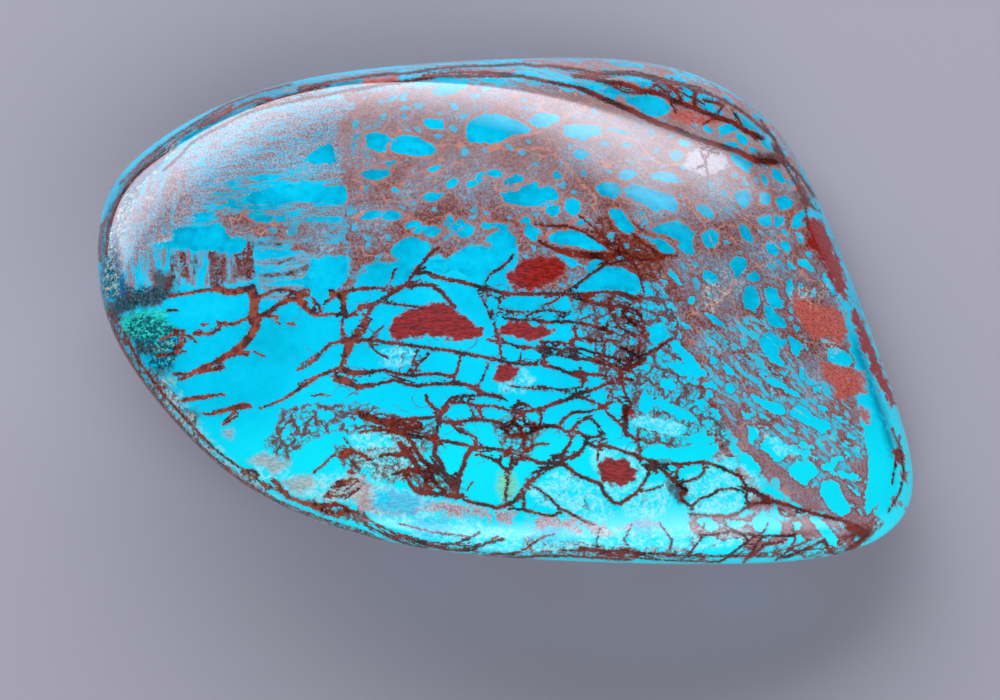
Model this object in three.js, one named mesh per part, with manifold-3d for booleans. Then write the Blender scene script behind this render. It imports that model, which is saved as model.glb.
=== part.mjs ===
// A tumbled and polished chrysocolla stone: one flattish, rounded wedge of
// turquoise-blue stone that rests on a small flat at its underside.
// Millimetres, +Z up. The longest extent lies along X and the shortest along Z.
import * as THREE from "three";
import { mergeVertices } from "three/addons/utils/BufferGeometryUtils.js";
import Module from "manifold-3d";

// Each worn face is a plane that the tumbling has ground on the stone. Its azimuth is
// in degrees round from +X, its lift in degrees above the horizontal, and its reach is
// the distance in mm from the middle of the stone to the plane.
const WORN_FACES = [
  { name: "crown, near", azimuth: -115, lift: 80, reach: 8.6 },
  { name: "crown, left", azimuth: 180, lift: 82, reach: 12.0 },

  { name: "right slope", azimuth: 10, lift: 60, reach: 10.6 },
  { name: "far right shoulder", azimuth: 35, lift: 60, reach: 10.6 },
  { name: "far shoulder", azimuth: 85, lift: 55, reach: 11.6 },
  { name: "far left shoulder", azimuth: 135, lift: 55, reach: 14.6 },
  { name: "left shoulder", azimuth: -175, lift: 60, reach: 15.9 },
  { name: "near left shoulder", azimuth: -130, lift: 60, reach: 18.8 },
  { name: "near shoulder", azimuth: -70, lift: 60, reach: 14.0 },
  { name: "near right shoulder", azimuth: -55, lift: 65, reach: 12.9 },

  { name: "right flank", azimuth: 15, lift: 5, reach: 18.2 },
  { name: "far right flank", azimuth: 70, lift: 10, reach: 17.9 },
  { name: "far flank", azimuth: 100, lift: 15, reach: 12.7 },
  { name: "far left flank", azimuth: 130, lift: 5, reach: 17.3 },
  { name: "left end", azimuth: 180, lift: 0, reach: 20.6 },
  { name: "left heel", azimuth: -170, lift: 0, reach: 23.6 },
  { name: "near left flank", azimuth: -140, lift: -5, reach: 18.7 },
  { name: "near flank, left", azimuth: -115, lift: 0, reach: 18.0 },
  { name: "near flank", azimuth: -85, lift: 0, reach: 17.3 },
  { name: "near right flank", azimuth: -60, lift: 5, reach: 22.4 },
  { name: "nose corner", azimuth: -35, lift: 0, reach: 25.1 },
  { name: "nose", azimuth: -12, lift: 0, reach: 24.3 },

  { name: "near belly", azimuth: -100, lift: -45, reach: 9.6 },
  { name: "near keel", azimuth: -115, lift: -65, reach: 5.6 },
  { name: "left belly", azimuth: -150, lift: -50, reach: 9.4 },
  { name: "far left belly", azimuth: 150, lift: -55, reach: 10.5 },
  { name: "far belly", azimuth: 85, lift: -55, reach: 7.6 },
  { name: "right belly", azimuth: 0, lift: -50, reach: 20.5 },

  { name: "underside", azimuth: 0, lift: -90, reach: 1.5 },
  { name: "underside, right", azimuth: 0, lift: -80, reach: 6.6 },
  { name: "underside, far", azimuth: 90, lift: -80, reach: 4.1 },
  { name: "underside, left", azimuth: 180, lift: -80, reach: 5.4 },
  { name: "underside, near", azimuth: -90, lift: -80, reach: 4.5 },
];

// How far in mm the polish reaches over from one worn face to the next: the larger, the
// rounder the edges.
const POLISH_ROUNDING = 1.0;

// Rounds of Newton's method that find the skin along a line. It has settled by the fifth.
const SKIN_STEPS = 6;

// The rest flat is cut this far above the lowest point of the rounded underside.
const REST_FLAT_DEPTH = 0.05;

// The net of points that is laid over the stone is an ellipsoid of about its size,
// whose triangles come out near enough alike once they are drawn in to the surface.
const NET_DETAIL = 19;
const NET_RADII = new THREE.Vector3(20.5, 15.5, 4.8);
const NET_CENTRE = new THREE.Vector3(0, 0, 1);

const WELD_DISTANCE = 1e-4;
const CUTTER_SIZE = 100;

const STONE_COLOUR = 0x12b4c4;
const STONE_ROUGHNESS = 0.15;

// The outward unit vector of a worn face.
function outward({ azimuth, lift }) {
  const polar = THREE.MathUtils.degToRad(90 - lift);
  const round = THREE.MathUtils.degToRad(90 + azimuth);
  const yUp = new THREE.Vector3().setFromSphericalCoords(1, polar, round);
  return new THREE.Vector3(yUp.x, -yUp.z, yUp.y);
}

const WORN_PLANES = WORN_FACES.map((face) => ({ normal: outward(face), reach: face.reach }));

// How far in front of the skin a point lies: a soft maximum of its distances in front
// of the worn planes. The slope is how fast that grows along the line from the middle.
function aheadOfSkin(direction, distance) {
  let total = 0;
  let slope = 0;
  for (const { normal, reach } of WORN_PLANES) {
    const facing = normal.dot(direction);
    const weight = Math.exp((facing * distance - reach) / POLISH_ROUNDING);
    total += weight;
    slope += weight * facing;
  }
  return { ahead: POLISH_ROUNDING * Math.log(total), slope: slope / total };
}

// Distance from the middle of the stone to its skin in a direction. The search starts on
// the nearest plane, which is never inside the skin, and works inwards.
function skinDistance(direction) {
  let distance = Infinity;
  for (const { normal, reach } of WORN_PLANES) {
    const facing = normal.dot(direction);
    if (facing > 0) {
      distance = Math.min(distance, reach / facing);
    }
  }
  for (let step = 0; step < SKIN_STEPS; step++) {
    const { ahead, slope } = aheadOfSkin(direction, distance);
    distance -= ahead / slope;
  }
  return distance;
}

// The rounded stone, before its rest flat.
function wornPebble() {
  const net = new THREE.IcosahedronGeometry(1, NET_DETAIL);
  net.deleteAttribute("normal");
  net.deleteAttribute("uv");
  const pebble = mergeVertices(net, WELD_DISTANCE);
  const points = pebble.getAttribute("position");
  const direction = new THREE.Vector3();
  for (let i = 0; i < points.count; i++) {
    direction.fromBufferAttribute(points, i).multiply(NET_RADII).add(NET_CENTRE).normalize();
    const point = direction.multiplyScalar(skinDistance(direction));
    points.setXYZ(i, point.x, point.y, point.z);
  }
  return pebble;
}

function toSolid(wasm, geometry) {
  const bare = new THREE.BufferGeometry();
  bare.setAttribute("position", geometry.getAttribute("position"));
  bare.setIndex(geometry.index);
  const welded = mergeVertices(bare, WELD_DISTANCE);
  const mesh = new wasm.Mesh({
    numProp: 3,
    vertProperties: new Float32Array(welded.getAttribute("position").array),
    triVerts: new Uint32Array(welded.index.array),
  });
  return new wasm.Manifold(mesh);
}

function toGeometry(solid) {
  const mesh = solid.getMesh();
  const geometry = new THREE.BufferGeometry();
  geometry.setAttribute("position", new THREE.BufferAttribute(mesh.vertProperties, mesh.numProp));
  geometry.setIndex(new THREE.BufferAttribute(mesh.triVerts, 1));
  return geometry;
}

// Takes the lowest sliver off the pebble, which leaves the flat that it rests on.
function cutRestFlat(wasm, pebble) {
  pebble.computeBoundingBox();
  const restHeight = pebble.boundingBox.min.z + REST_FLAT_DEPTH;
  const cutter = new THREE.BoxGeometry(CUTTER_SIZE, CUTTER_SIZE, CUTTER_SIZE);
  cutter.translate(0, 0, restHeight - CUTTER_SIZE / 2);
  return toGeometry(toSolid(wasm, pebble).subtract(toSolid(wasm, cutter)));
}

// Moves the middle of the box round the stone to X = Y = 0, with the flat at Z = 0.
function centreOnFlat(geometry) {
  geometry.computeBoundingBox();
  const box = geometry.boundingBox;
  const middle = box.getCenter(new THREE.Vector3());
  geometry.translate(-middle.x, -middle.y, -box.min.z);
}

function makeStone(wasm) {
  const geometry = cutRestFlat(wasm, wornPebble());
  centreOnFlat(geometry);
  geometry.computeVertexNormals();
  const material = new THREE.MeshStandardMaterial({
    color: STONE_COLOUR,
    roughness: STONE_ROUGHNESS,
    metalness: 0,
  });
  const stone = new THREE.Mesh(geometry, material);
  stone.name = "stone";
  return stone;
}

const wasm = await Module();
wasm.setup();

const part = new THREE.Group();
part.add(makeStone(wasm));

export default part;
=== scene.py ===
"""A tumbled and polished chrysocolla stone on a plain floor, in metres."""

import math

import bpy
import numpy as np
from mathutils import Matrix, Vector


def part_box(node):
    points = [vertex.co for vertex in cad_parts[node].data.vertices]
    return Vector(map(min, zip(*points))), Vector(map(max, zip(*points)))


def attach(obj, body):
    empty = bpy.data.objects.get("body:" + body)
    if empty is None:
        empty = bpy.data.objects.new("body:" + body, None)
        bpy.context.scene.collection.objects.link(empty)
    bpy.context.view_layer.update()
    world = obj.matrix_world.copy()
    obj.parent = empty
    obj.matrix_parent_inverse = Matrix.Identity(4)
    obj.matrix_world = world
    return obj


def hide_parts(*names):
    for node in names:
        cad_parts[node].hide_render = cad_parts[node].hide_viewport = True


bl_info = {
    "name": "Tumbled Chrysocolla Stone",
    "version": (1, 0, 0),
    "blender": (4, 5, 0),
    "location": "3D View > Sidebar > Stone",
    "description": "Builds a polished turquoise-blue stone with brown veins, and its stage",
    "category": "Add Mesh",
}

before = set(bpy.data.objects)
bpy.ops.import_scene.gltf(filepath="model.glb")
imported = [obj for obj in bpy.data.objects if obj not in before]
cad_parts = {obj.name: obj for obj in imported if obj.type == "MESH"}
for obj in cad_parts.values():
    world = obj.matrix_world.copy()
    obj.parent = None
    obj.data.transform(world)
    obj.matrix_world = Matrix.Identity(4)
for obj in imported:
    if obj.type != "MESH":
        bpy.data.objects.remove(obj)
CAD_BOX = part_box("stone")

MM = 0.001

# Worn faces of the stone: azimuth round from +X and lift above the horizontal, both in
# degrees, and the reach in mm from the middle of the stone to the plane.
# The reaches came from a separate least-squares fit, to the stone's outline, to the
# outline of its mirror image, to the border of its highlight and to limits of thickness
# and balance, and were rounded to 0.1 mm. Three of the underside's, the level face and
# those to its right and left, were then changed, by 0.6 mm at most, to centre the rest
# flat. The names, azimuths and lifts were chosen.
WORN_FACES = {
    "crown, near": (-115, 80, 8.6),
    "crown, left": (180, 82, 12.0),
    "right slope": (10, 60, 10.6),
    "far right shoulder": (35, 60, 10.6),
    "far shoulder": (85, 55, 11.6),
    "far left shoulder": (135, 55, 14.6),
    "left shoulder": (-175, 60, 15.9),
    "near left shoulder": (-130, 60, 18.8),
    "near shoulder": (-70, 60, 14.0),
    "near right shoulder": (-55, 65, 12.9),
    "right flank": (15, 5, 18.2),
    "far right flank": (70, 10, 17.9),
    "far flank": (100, 15, 12.7),
    "far left flank": (130, 5, 17.3),
    "left end": (180, 0, 20.6),
    "left heel": (-170, 0, 23.6),
    "near left flank": (-140, -5, 18.7),
    "near flank, left": (-115, 0, 18.0),
    "near flank": (-85, 0, 17.3),
    "near right flank": (-60, 5, 22.4),
    "nose corner": (-35, 0, 25.1),
    "nose": (-12, 0, 24.3),
    "near belly": (-100, -45, 9.6),
    "near keel": (-115, -65, 5.6),
    "left belly": (-150, -50, 9.4),
    "far left belly": (150, -55, 10.5),
    "far belly": (85, -55, 7.6),
    "right belly": (0, -50, 20.5),
    "underside": (0, -90, 1.5),
    "underside, right": (0, -80, 6.6),
    "underside, far": (90, -80, 4.1),
    "underside, left": (180, -80, 5.4),
    "underside, near": (-90, -80, 4.5),
}

# How far in mm the polish reaches over from one worn face to the next.
POLISH_ROUNDING = 1.0

# Rounds of Newton's method that find the skin along a line, and the least cosine between
# the line and a worn face's normal at which that face still counts for its start.
SKIN_STEPS = 6
LEAST_FACING = 1e-6

# How far in mm the rest flat lies above the underside's lowest point.
REST_FLAT_DEPTH = 0.05

# The net of triangles drawn over the stone: an ellipsoid of about its size, in mm, that
# is raised so that the net is closer on the upper side, which carries the finest
# markings. The detail is the number of divisions along each edge of an icosahedron, and
# points that agree to so many digits are joined.
NET_RADII = (20.5, 15.5, 4.8)
NET_RISE = 2.0
NET_DETAIL = 98
NET_DIGITS = 6

# The camera looks along +Y and down. Its elevation is in degrees, its clip is in metres
# and the rest is in mm. At its distance the view is as wide as the chart below. Its aim
# came from the same fit as the reaches.
CAMERA_LENS = 100.0
CAMERA_SENSOR = 36.0
CAMERA_CLIP = 0.005
CAMERA_ELEVATION = 60.0
CAMERA_DISTANCE = 138.89
CAMERA_AIM = (-0.110, -1.753, 2.01)

# The chart is a sheet of 50 x 35 mm that stands square to the view at the camera's
# distance. Markings are drawn on it in tenths of a millimetre, right and down from its
# top left corner, and are laid on the stone along the lines of sight.
CHART_MIDDLE = (250.0, 175.0)
CHART_UNIT = 0.1

# How far from a marking its distance is measured, on the chart.
MARK_REACH = 6.0

# How far the skin faces the camera, as the cosine between its normal and the line of
# sight. Markings are worked out where it is above the first. The chart's markings begin
# at the second and have wholly taken over from those of the hidden sides a fade later.
CHART_READ = -0.2
CHART_BEGINS = -0.12
CHART_FADE = 0.1

# One vein a row: its width, and its points from end to end.
VEINS = """
0.9: 150,44 160,42 172,40 185,38 193,37 200,37 208,36 221,34 233,33 244,33 260,32 269,33 277,33 283,35
1.0: 150,49 155,48
1.2: 174,45 183,44 192,42 202,41 208,40 219,38 230,38 242,38 253,38 260,38 270,40 280,42 290,44
1.0: 275,33 291,35 299,37 312,37 323,38 330,40 341,42 347,45 354,47 362,50 367,53 374,58 381,64 387,69 \
390,77 395,83 401,89 407,98
2.0: 287,38 297,39 303,41 312,42 320,45 330,47 339,51 347,54 357,58 366,61 374,66 381,69
0.9: 322,47 328,42 333,46 340,44
1.5: 348,45 347,50 348,54
0.8: 352,50 360,52
2.2: 290,44 299,48 308,52 315,55 323,59 330,62 341,66 350,70 360,73 370,76 377,80 387,81 392,80
0.8: 82,85 90,78 95,72
0.9: 95,72 103,67 113,62 120,58 128,55 139,52 150,50 165,47 174,45
1.2: 99,64 107,60 116,55
0.9: 116,55 128,50 134,49
0.9: 152,43 160,43
1.0: 330,40 334,43 338,46 341,50
0.8: 303,41 312,46 322,47
0.6: 300,36 318,36 334,40 350,44 364,52
0.5: 320,38 332,42 344,48 352,52
0.7: 336,40 334,48 338,56
0.6: 362,52 358,58 352,62
0.6: 366,55 372,64 378,70
0.5: 380,60 386,68 392,78
0.9: 386,72 392,82 398,92 404,102
0.6: 212,38 226,36 242,36 256,37
0.7: 56,112 60,100 68,90 78,81 88,74
0.5: 53,128 54,114 58,101 66,89 77,79 90,69 103,60 116,53
0.6: 60,92 72,80 86,69 100,60 114,52 130,46 146,42
0.6: 128,53 140,49 152,46 163,44
0.3: 350,75 353,82 354,88
0.3: 355,76 352,82 349,84
0.3: 351,74 359,77
1.4: 150,192 155,190 161,187 168,185 171,183 172,178 173,174 175,171
0.6: 150,183 154,180 159,177 164,172 168,171
1.2: 171,170 171,162 172,157 172,150 173,147
1.3: 175,171 178,166 182,160 185,155 189,151 195,147 201,144 205,140 207,136 211,132 216,126 219,124
1.0: 171,147 176,145 183,144 190,144 196,145 201,143
0.8: 176,158 179,154 184,152 190,151 197,152 205,153 211,154
0.6: 160,158 168,157 172,158 177,157
1.5: 207,137 213,136 218,138 224,140 231,141 238,143 246,145 254,147 262,147 270,147 280,147
1.6: 204,144 210,142 216,143 221,146 224,150 227,153
1.2: 175,170 183,170 192,171 200,172 207,173 214,174 222,175 230,176 238,178 246,179 252,181 260,182 270,182
1.2: 172,186 178,186 185,186 192,185 199,187 206,188 212,187 220,187 227,188
1.3: 168,188 173,189 179,193 186,193 192,191 198,190 203,192 209,193 216,192 225,192 232,192 238,194 \
243,197 250,199
0.8: 204,187 206,182 208,177 209,174
0.7: 207,186 210,181 214,178 216,174
0.9: 227,190 229,184 230,179 231,176
0.6: 238,193 241,190 243,185 245,180
0.8: 251,180 250,173 249,166
0.4: 260,180 261,175
0.8: 272,181 273,176 276,174 284,175
0.9: 244,170 252,171 258,173 266,174 274,174 282,175 289,177
0.6: 274,176 281,178 289,180
0.8: 240,147 243,153 245,158 247,162 248,168
0.5: 250,148 249,154 248,160
0.8: 263,158 268,156 273,152 278,150 283,146
0.5: 250,155 258,156 266,156 275,155 284,157
0.9: 252,159 262,160 272,160
0.5: 240,145 246,148 252,149
0.9: 243,140 245,137 249,135 253,132 257,127
1.3: 270,121 276,124 283,127 290,128 297,129 304,129 310,128
0.8: 240,197 247,197 253,200
0.5: 262,194 270,193 280,195 290,197
0.7: 184,170 188,176 194,179
0.6: 198,134 196,138 195,143
0.4: 192,163 188,166 186,171
1.1: 284,146 290,141 297,136 303,132
1.1: 278,147 286,147 294,147 301,146 307,146 313,147 320,150
1.3: 283,146 288,149 296,151 303,153 310,153 317,155 321,158
2.2: 306,146 311,147 316,149
0.8: 270,154 276,151 282,147
0.7: 278,160 281,157 285,156
1.2: 270,161 277,161 285,161 293,162 300,164 306,166
0.6: 305,157 309,163 315,167 321,170
1.2: 311,156 315,161 320,163 324,167
0.6: 318,156 321,160 323,163
1.0: 270,171 278,171 285,172 289,175
1.4: 287,163 288,168 286,172
0.9: 289,169 296,170 301,171 307,170
0.8: 289,174 296,176 303,178 311,180
1.0: 302,171 303,176
1.3: 311,174 314,175 316,179 314,183 311,187
1.0: 270,176 275,177 283,177 290,179 298,181 306,183 314,184
1.0: 273,171 272,177 270,182
1.4: 270,182 278,184 286,187 293,190
0.6: 298,176 297,182
1.8: 310,189 312,184 317,183 322,180
1.0: 316,178 321,178 327,175 332,172 337,169
0.8: 322,163 320,172 319,178
0.7: 306,147 304,153 307,158 303,163
0.9: 268,112 276,113 284,113 292,116 300,121 306,125 312,127
0.7: 290,108 296,113 302,119 308,124
0.8: 304,126 296,127 288,126 278,124 270,121
0.9: 308,118 312,124 316,130 320,138 322,146
0.8: 316,117 322,122 330,127 338,128
0.7: 312,127 322,130 332,129
0.8: 304,133 310,130 316,130
0.5: 398,88 402,100 404,112
1.2: 85,148 92,147 97,146 103,145 108,145
3.0: 109,144 113,146 117,146 121,145 126,144
4.0: 126,144 127,150 127,157 128,163
3.6: 128,163 125,168 122,172 118,175
2.8: 119,175 113,178 108,181
2.0: 108,181 103,183 99,185
1.0: 99,185 94,187 87,187
1.8: 118,176 123,177
1.3: 128,157 123,159 118,162 114,162
1.6: 131,158 135,155 140,152
2.6: 140,152 144,150 149,149 153,147
2.4: 149,150 153,154 157,157
1.0: 131,148 137,145 143,145 149,146 154,145
0.8: 131,158 139,158
1.0: 158,158 165,157 172,157 175,158 178,157 180,153 185,152
1.0: 157,150 160,154 160,157
2.4: 166,146 170,148 172,152 172,157
1.3: 163,151 167,148 170,147 175,145 185,144
1.3: 98,166 102,167 105,167 109,165 111,162
1.0: 101,162 103,162
1.0: 109,161 111,162
0.8: 84,155 89,155
0.8: 87,165 92,165
0.7: 80,170 87,167 95,168 98,171
1.0: 87,174 93,170
1.2: 79,178 85,177 92,176
0.7: 90,190 95,188 100,186
2.0: 99,186 105,185 111,184
1.8: 92,200 98,199 105,198
0.8: 105,198 112,197
1.0: 102,207 108,207
1.8: 108,206 113,205 118,204
2.6: 117,204 121,203 124,203
1.2: 112,212 118,208
0.8: 130,204 136,202 141,200
1.2: 141,200 146,197 150,194 155,191 159,188
1.4: 159,188 164,186 170,184 172,180 173,176
0.8: 149,185 155,182 160,178
1.1: 160,178 164,173 168,171 173,170
0.7: 127,176 132,178
3.4: 172,170 175,173 173,177
1.5: 172,169 177,170 185,170
1.3: 175,171 179,168 182,165 185,160
0.6: 171,160 172,168
2.0: 172,184 178,187 185,186
2.0: 168,190 175,192 179,194 185,192
0.4: 156,198 160,197 165,198
0.4: 137,160 140,162
1.2: 145,162 147,162
0.8: 157,236 162,232 166,228 170,226
1.4: 170,226 176,225 180,227 185,230
1.0: 170,229 175,227
0.6: 172,219 175,223 176,228 178,234
1.2: 122,237 124,235 128,236 129,238 125,240
2.0: 137,240 141,245 144,247
1.0: 131,242 133,244
1.4: 143,248 148,250 153,252
1.6: 153,252 160,253 163,252
1.2: 163,253 168,252 174,254 172,257 166,257 163,255
1.4: 174,255 180,257
0.5: 162,249 167,242 171,240
0.5: 165,249 170,243 176,239
0.5: 169,249 174,244 180,240
0.4: 172,250 177,246 182,242
0.5: 58,168 66,183 77,199 90,214 106,230 124,243 144,254 168,263 192,270
0.5: 62,166 69,180 80,195 93,210 109,226 127,239 147,250 170,259
0.4: 55,160 62,175 72,191 85,207 101,224 118,238 138,250 160,259 186,267
0.4: 200,262 216,266 232,268
0.4: 196,266 214,271 234,273 252,270
1.4: 180,206 185,208 190,210 196,210 202,210 208,209 214,209 219,208
2.0: 180,208 186,210 192,212 200,212 206,214 210,213
1.0: 180,216 186,215 193,215 198,217 203,217 208,218 214,219 220,220
1.8: 196,214 202,216 205,220 208,225 211,230 215,233 219,235
1.2: 203,218 204,224 206,228
1.2: 219,208 222,203 226,199 231,198 237,198 243,197 250,198
0.8: 231,198 225,202 222,207 219,209
1.2: 213,198 214,201 217,204 220,206
1.0: 225,202 231,201 235,202 240,203 247,203 254,205 258,205
0.8: 235,201 236,205 237,209
0.8: 237,203 240,206 242,210
1.3: 219,210 224,211 230,211 236,210 242,210 248,211 254,213
1.4: 219,208 219,213 218,218 218,221
1.0: 223,209 227,213 230,216 234,217 237,218 239,221
0.5: 230,214 235,216 238,219
1.3: 219,220 225,221 231,222 238,224 244,224 250,225 256,226
0.6: 250,214 253,216 256,218
2.2: 218,222 217,227 220,231 222,236 225,241 228,246
2.0: 236,224 233,228 232,232 230,237 229,242 229,247
1.8: 231,235 227,240 226,244
1.0: 207,221 209,228 213,231 216,235
1.8: 200,222 203,227 207,231 210,236 213,240 214,245
1.2: 190,228 196,227 203,228
1.6: 197,237 203,235 209,236 215,236 220,235
1.2: 201,235 204,240 207,245 213,246
1.2: 216,236 217,241 221,245 227,248
1.8: 208,246 215,247 221,247 228,249
1.2: 229,248 235,251 241,252 248,254 252,253 256,252
1.0: 239,227 245,229 250,232 253,236 254,240 253,246 253,251
1.2: 254,240 255,234 256,229 255,224
0.8: 249,230 252,227 257,227
1.4: 256,252 259,248 262,244 265,241 269,238 273,235 278,233 281,231
1.0: 263,243 262,249 262,254
0.9: 265,242 270,245 275,249 280,254
0.9: 262,242 266,237 270,235 275,234
1.4: 260,228 266,230 272,232 279,231 284,229 290,226 293,222
1.4: 281,231 285,235 290,238 295,240 300,242 302,246 305,249
1.6: 262,218 267,215 273,213 279,213
1.2: 279,213 283,216 289,216 294,219 300,218
0.9: 279,213 282,209 287,206 294,206 300,204 306,201
1.0: 285,216 289,211 294,209
0.9: 296,209 300,214 303,219
1.4: 260,206 266,205 272,204 279,201 286,199 293,196 299,194 306,191
1.2: 258,205 259,201 264,203
0.9: 258,205 256,210 254,214
0.9: 261,207 263,212 268,213
0.8: 269,204 271,208 270,213
1.0: 293,220 296,223 301,223 307,224 313,226 320,228
0.9: 293,222 289,228 284,229
1.1: 276,229 281,227 285,222 286,218
1.4: 276,228 281,228
0.8: 301,218 302,223
0.9: 303,206 308,210 312,215 316,219 320,220
1.8: 312,203 313,210 313,217
0.8: 299,224 299,230
1.3: 302,247 306,251 310,252 314,249 319,246
0.9: 280,254 278,258 270,257 262,255 255,254
0.9: 280,254 286,257 291,260 296,262
0.5: 255,193 263,194 271,195 280,195 289,194
0.6: 300,188 308,189 316,190
1.2: 286,186 294,187 302,188
0.7: 291,194 292,188 290,184
1.0: 285,198 291,199 297,201 302,204
0.8: 304,199 306,194 309,189
0.8: 306,198 311,201 314,205
1.2: 311,192 313,198 316,203
0.6: 220,272 227,272 233,270 240,266
0.7: 205,270 215,273 225,275 236,275 243,272 249,268
0.6: 245,277 255,277 262,275 270,269 277,267
1.2: 290,274 297,275 305,276 312,275 320,277
0.9: 240,278 255,279 270,278 285,278 300,279 315,280
0.6: 182,258 188,262 194,265 200,268 206,270 215,272
0.6: 182,262 190,266 200,271 212,274
0.5: 233,246 236,241
1.0: 257,204 258,212 262,218 262,226 258,232
0.8: 250,214 256,217 262,218
0.8: 262,226 268,222 274,222
1.2: 312,226 320,229 330,232 342,232 350,231 356,232 363,235 370,238 373,243
1.0: 318,228 322,233 325,236 322,241 319,245
1.6: 325,232 330,234 335,238 338,242 343,245
1.0: 340,233 338,237 340,242
1.0: 352,232 352,236 349,239 342,241
0.8: 350,249 355,248 359,245 366,244 372,246
1.2: 373,243 373,249 375,253
1.2: 375,253 380,251 387,252
0.8: 387,252 392,258 397,258
1.0: 345,257 355,258 365,258 372,255 374,252
1.4: 340,245 341,250 345,253
0.8: 345,255 350,249
0.7: 350,277 353,281
0.8: 360,281 366,277 372,272 375,270
0.8: 372,281 377,276 383,272 392,271
0.6: 388,280 396,274 405,270
0.8: 392,279 402,275 412,270
1.4: 412,270 415,276 421,278
2.0: 424,264 430,266 433,268 428,273 424,275
0.5: 300,277 330,280 360,281
0.5: 280,275 310,276 345,278 380,278
1.4: 375,244 385,250 395,253 404,256 412,258 420,260 428,263 434,266
1.0: 328,236 326,231
0.7: 331,243 325,245 319,246
0.5: 446,214 450,224 452,236 450,246 444,256
0.5: 450,218 448,230 446,242
0.6: 362,262 372,268 380,278
0.6: 384,262 380,270 372,280
0.6: 396,262 398,270 392,278
0.6: 352,262 350,270 342,280
0.6: 330,262 336,270 334,278
0.5: 316,262 312,270 318,278
0.5: 300,264 298,272 304,278
0.5: 350,268 366,266 380,268 396,268
"""

# One line a row: its width, and its points from end to end.
LINE_MARKS = {
    # Salmon lines of the upper side.
    "salmon_line": """
1.1: 175,90 183,91 200,92 208,90 217,87 225,84 230,82 238,80 244,76 250,74 257,75
1.0: 190,78 208,79 219,80 230,81
1.2: 191,78 193,75 197,67
1.2: 190,78 190,83 191,85
1.2: 183,91 179,96 182,99 183,105 175,110
1.3: 219,73 229,72 242,73 251,72 257,68 267,67 275,64 282,60 290,55 297,51
1.5: 257,75 270,74 275,75 283,82 290,91 297,98
1.0: 230,75 233,61
0.9: 320,72 323,76 328,81 333,83 339,82 342,80
0.8: 287,70 302,68 312,68 320,71
0.8: 307,82 312,80 317,81 322,82 325,87
0.6: 217,95 222,94 226,98 222,102 216,103 211,101 210,97 217,95
0.6: 249,98 250,95 258,93 266,89 270,89 276,90 281,96 281,101 276,102 271,105 257,105 251,102 249,98
0.5: 340,94 352,112 360,130 366,148 372,170
0.5: 386,90 378,104 366,116 352,128 340,140
0.5: 360,100 376,112 392,126 404,140
0.5: 398,104 386,118 372,136 360,150
0.4: 346,150 362,156 380,166 398,180 412,196
0.4: 340,160 356,172 374,186 392,200 410,214
0.4: 366,120 384,122 402,118
0.4: 352,140 366,140 380,142
""",
    # Brown tongues on the left.
    "brown": """
2.6: 86,128 87,138
4.0: 91,127 92,133 93,138
2.4: 97,128 98,136
4.0: 106,124 107,134 107,143
4.0: 111,129 111,140
3.0: 118,127 119,138
6.0: 123,123 124,131 125,137
1.4: 128,122 142,122
2.4: 132,138 145,137 155,133
1.4: 139,132 148,129
1.6: 144,137 150,140 155,139
2.5: 50,130 50,120 51,113 54,109
""",
    # The broken blue stripe at the left end.
    "blue": """
4.5: 55,108 58,103 64,95 72,87 80,80
3.0: 55,108 56,115 58,123 61,140 62,148
""",
}

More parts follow.
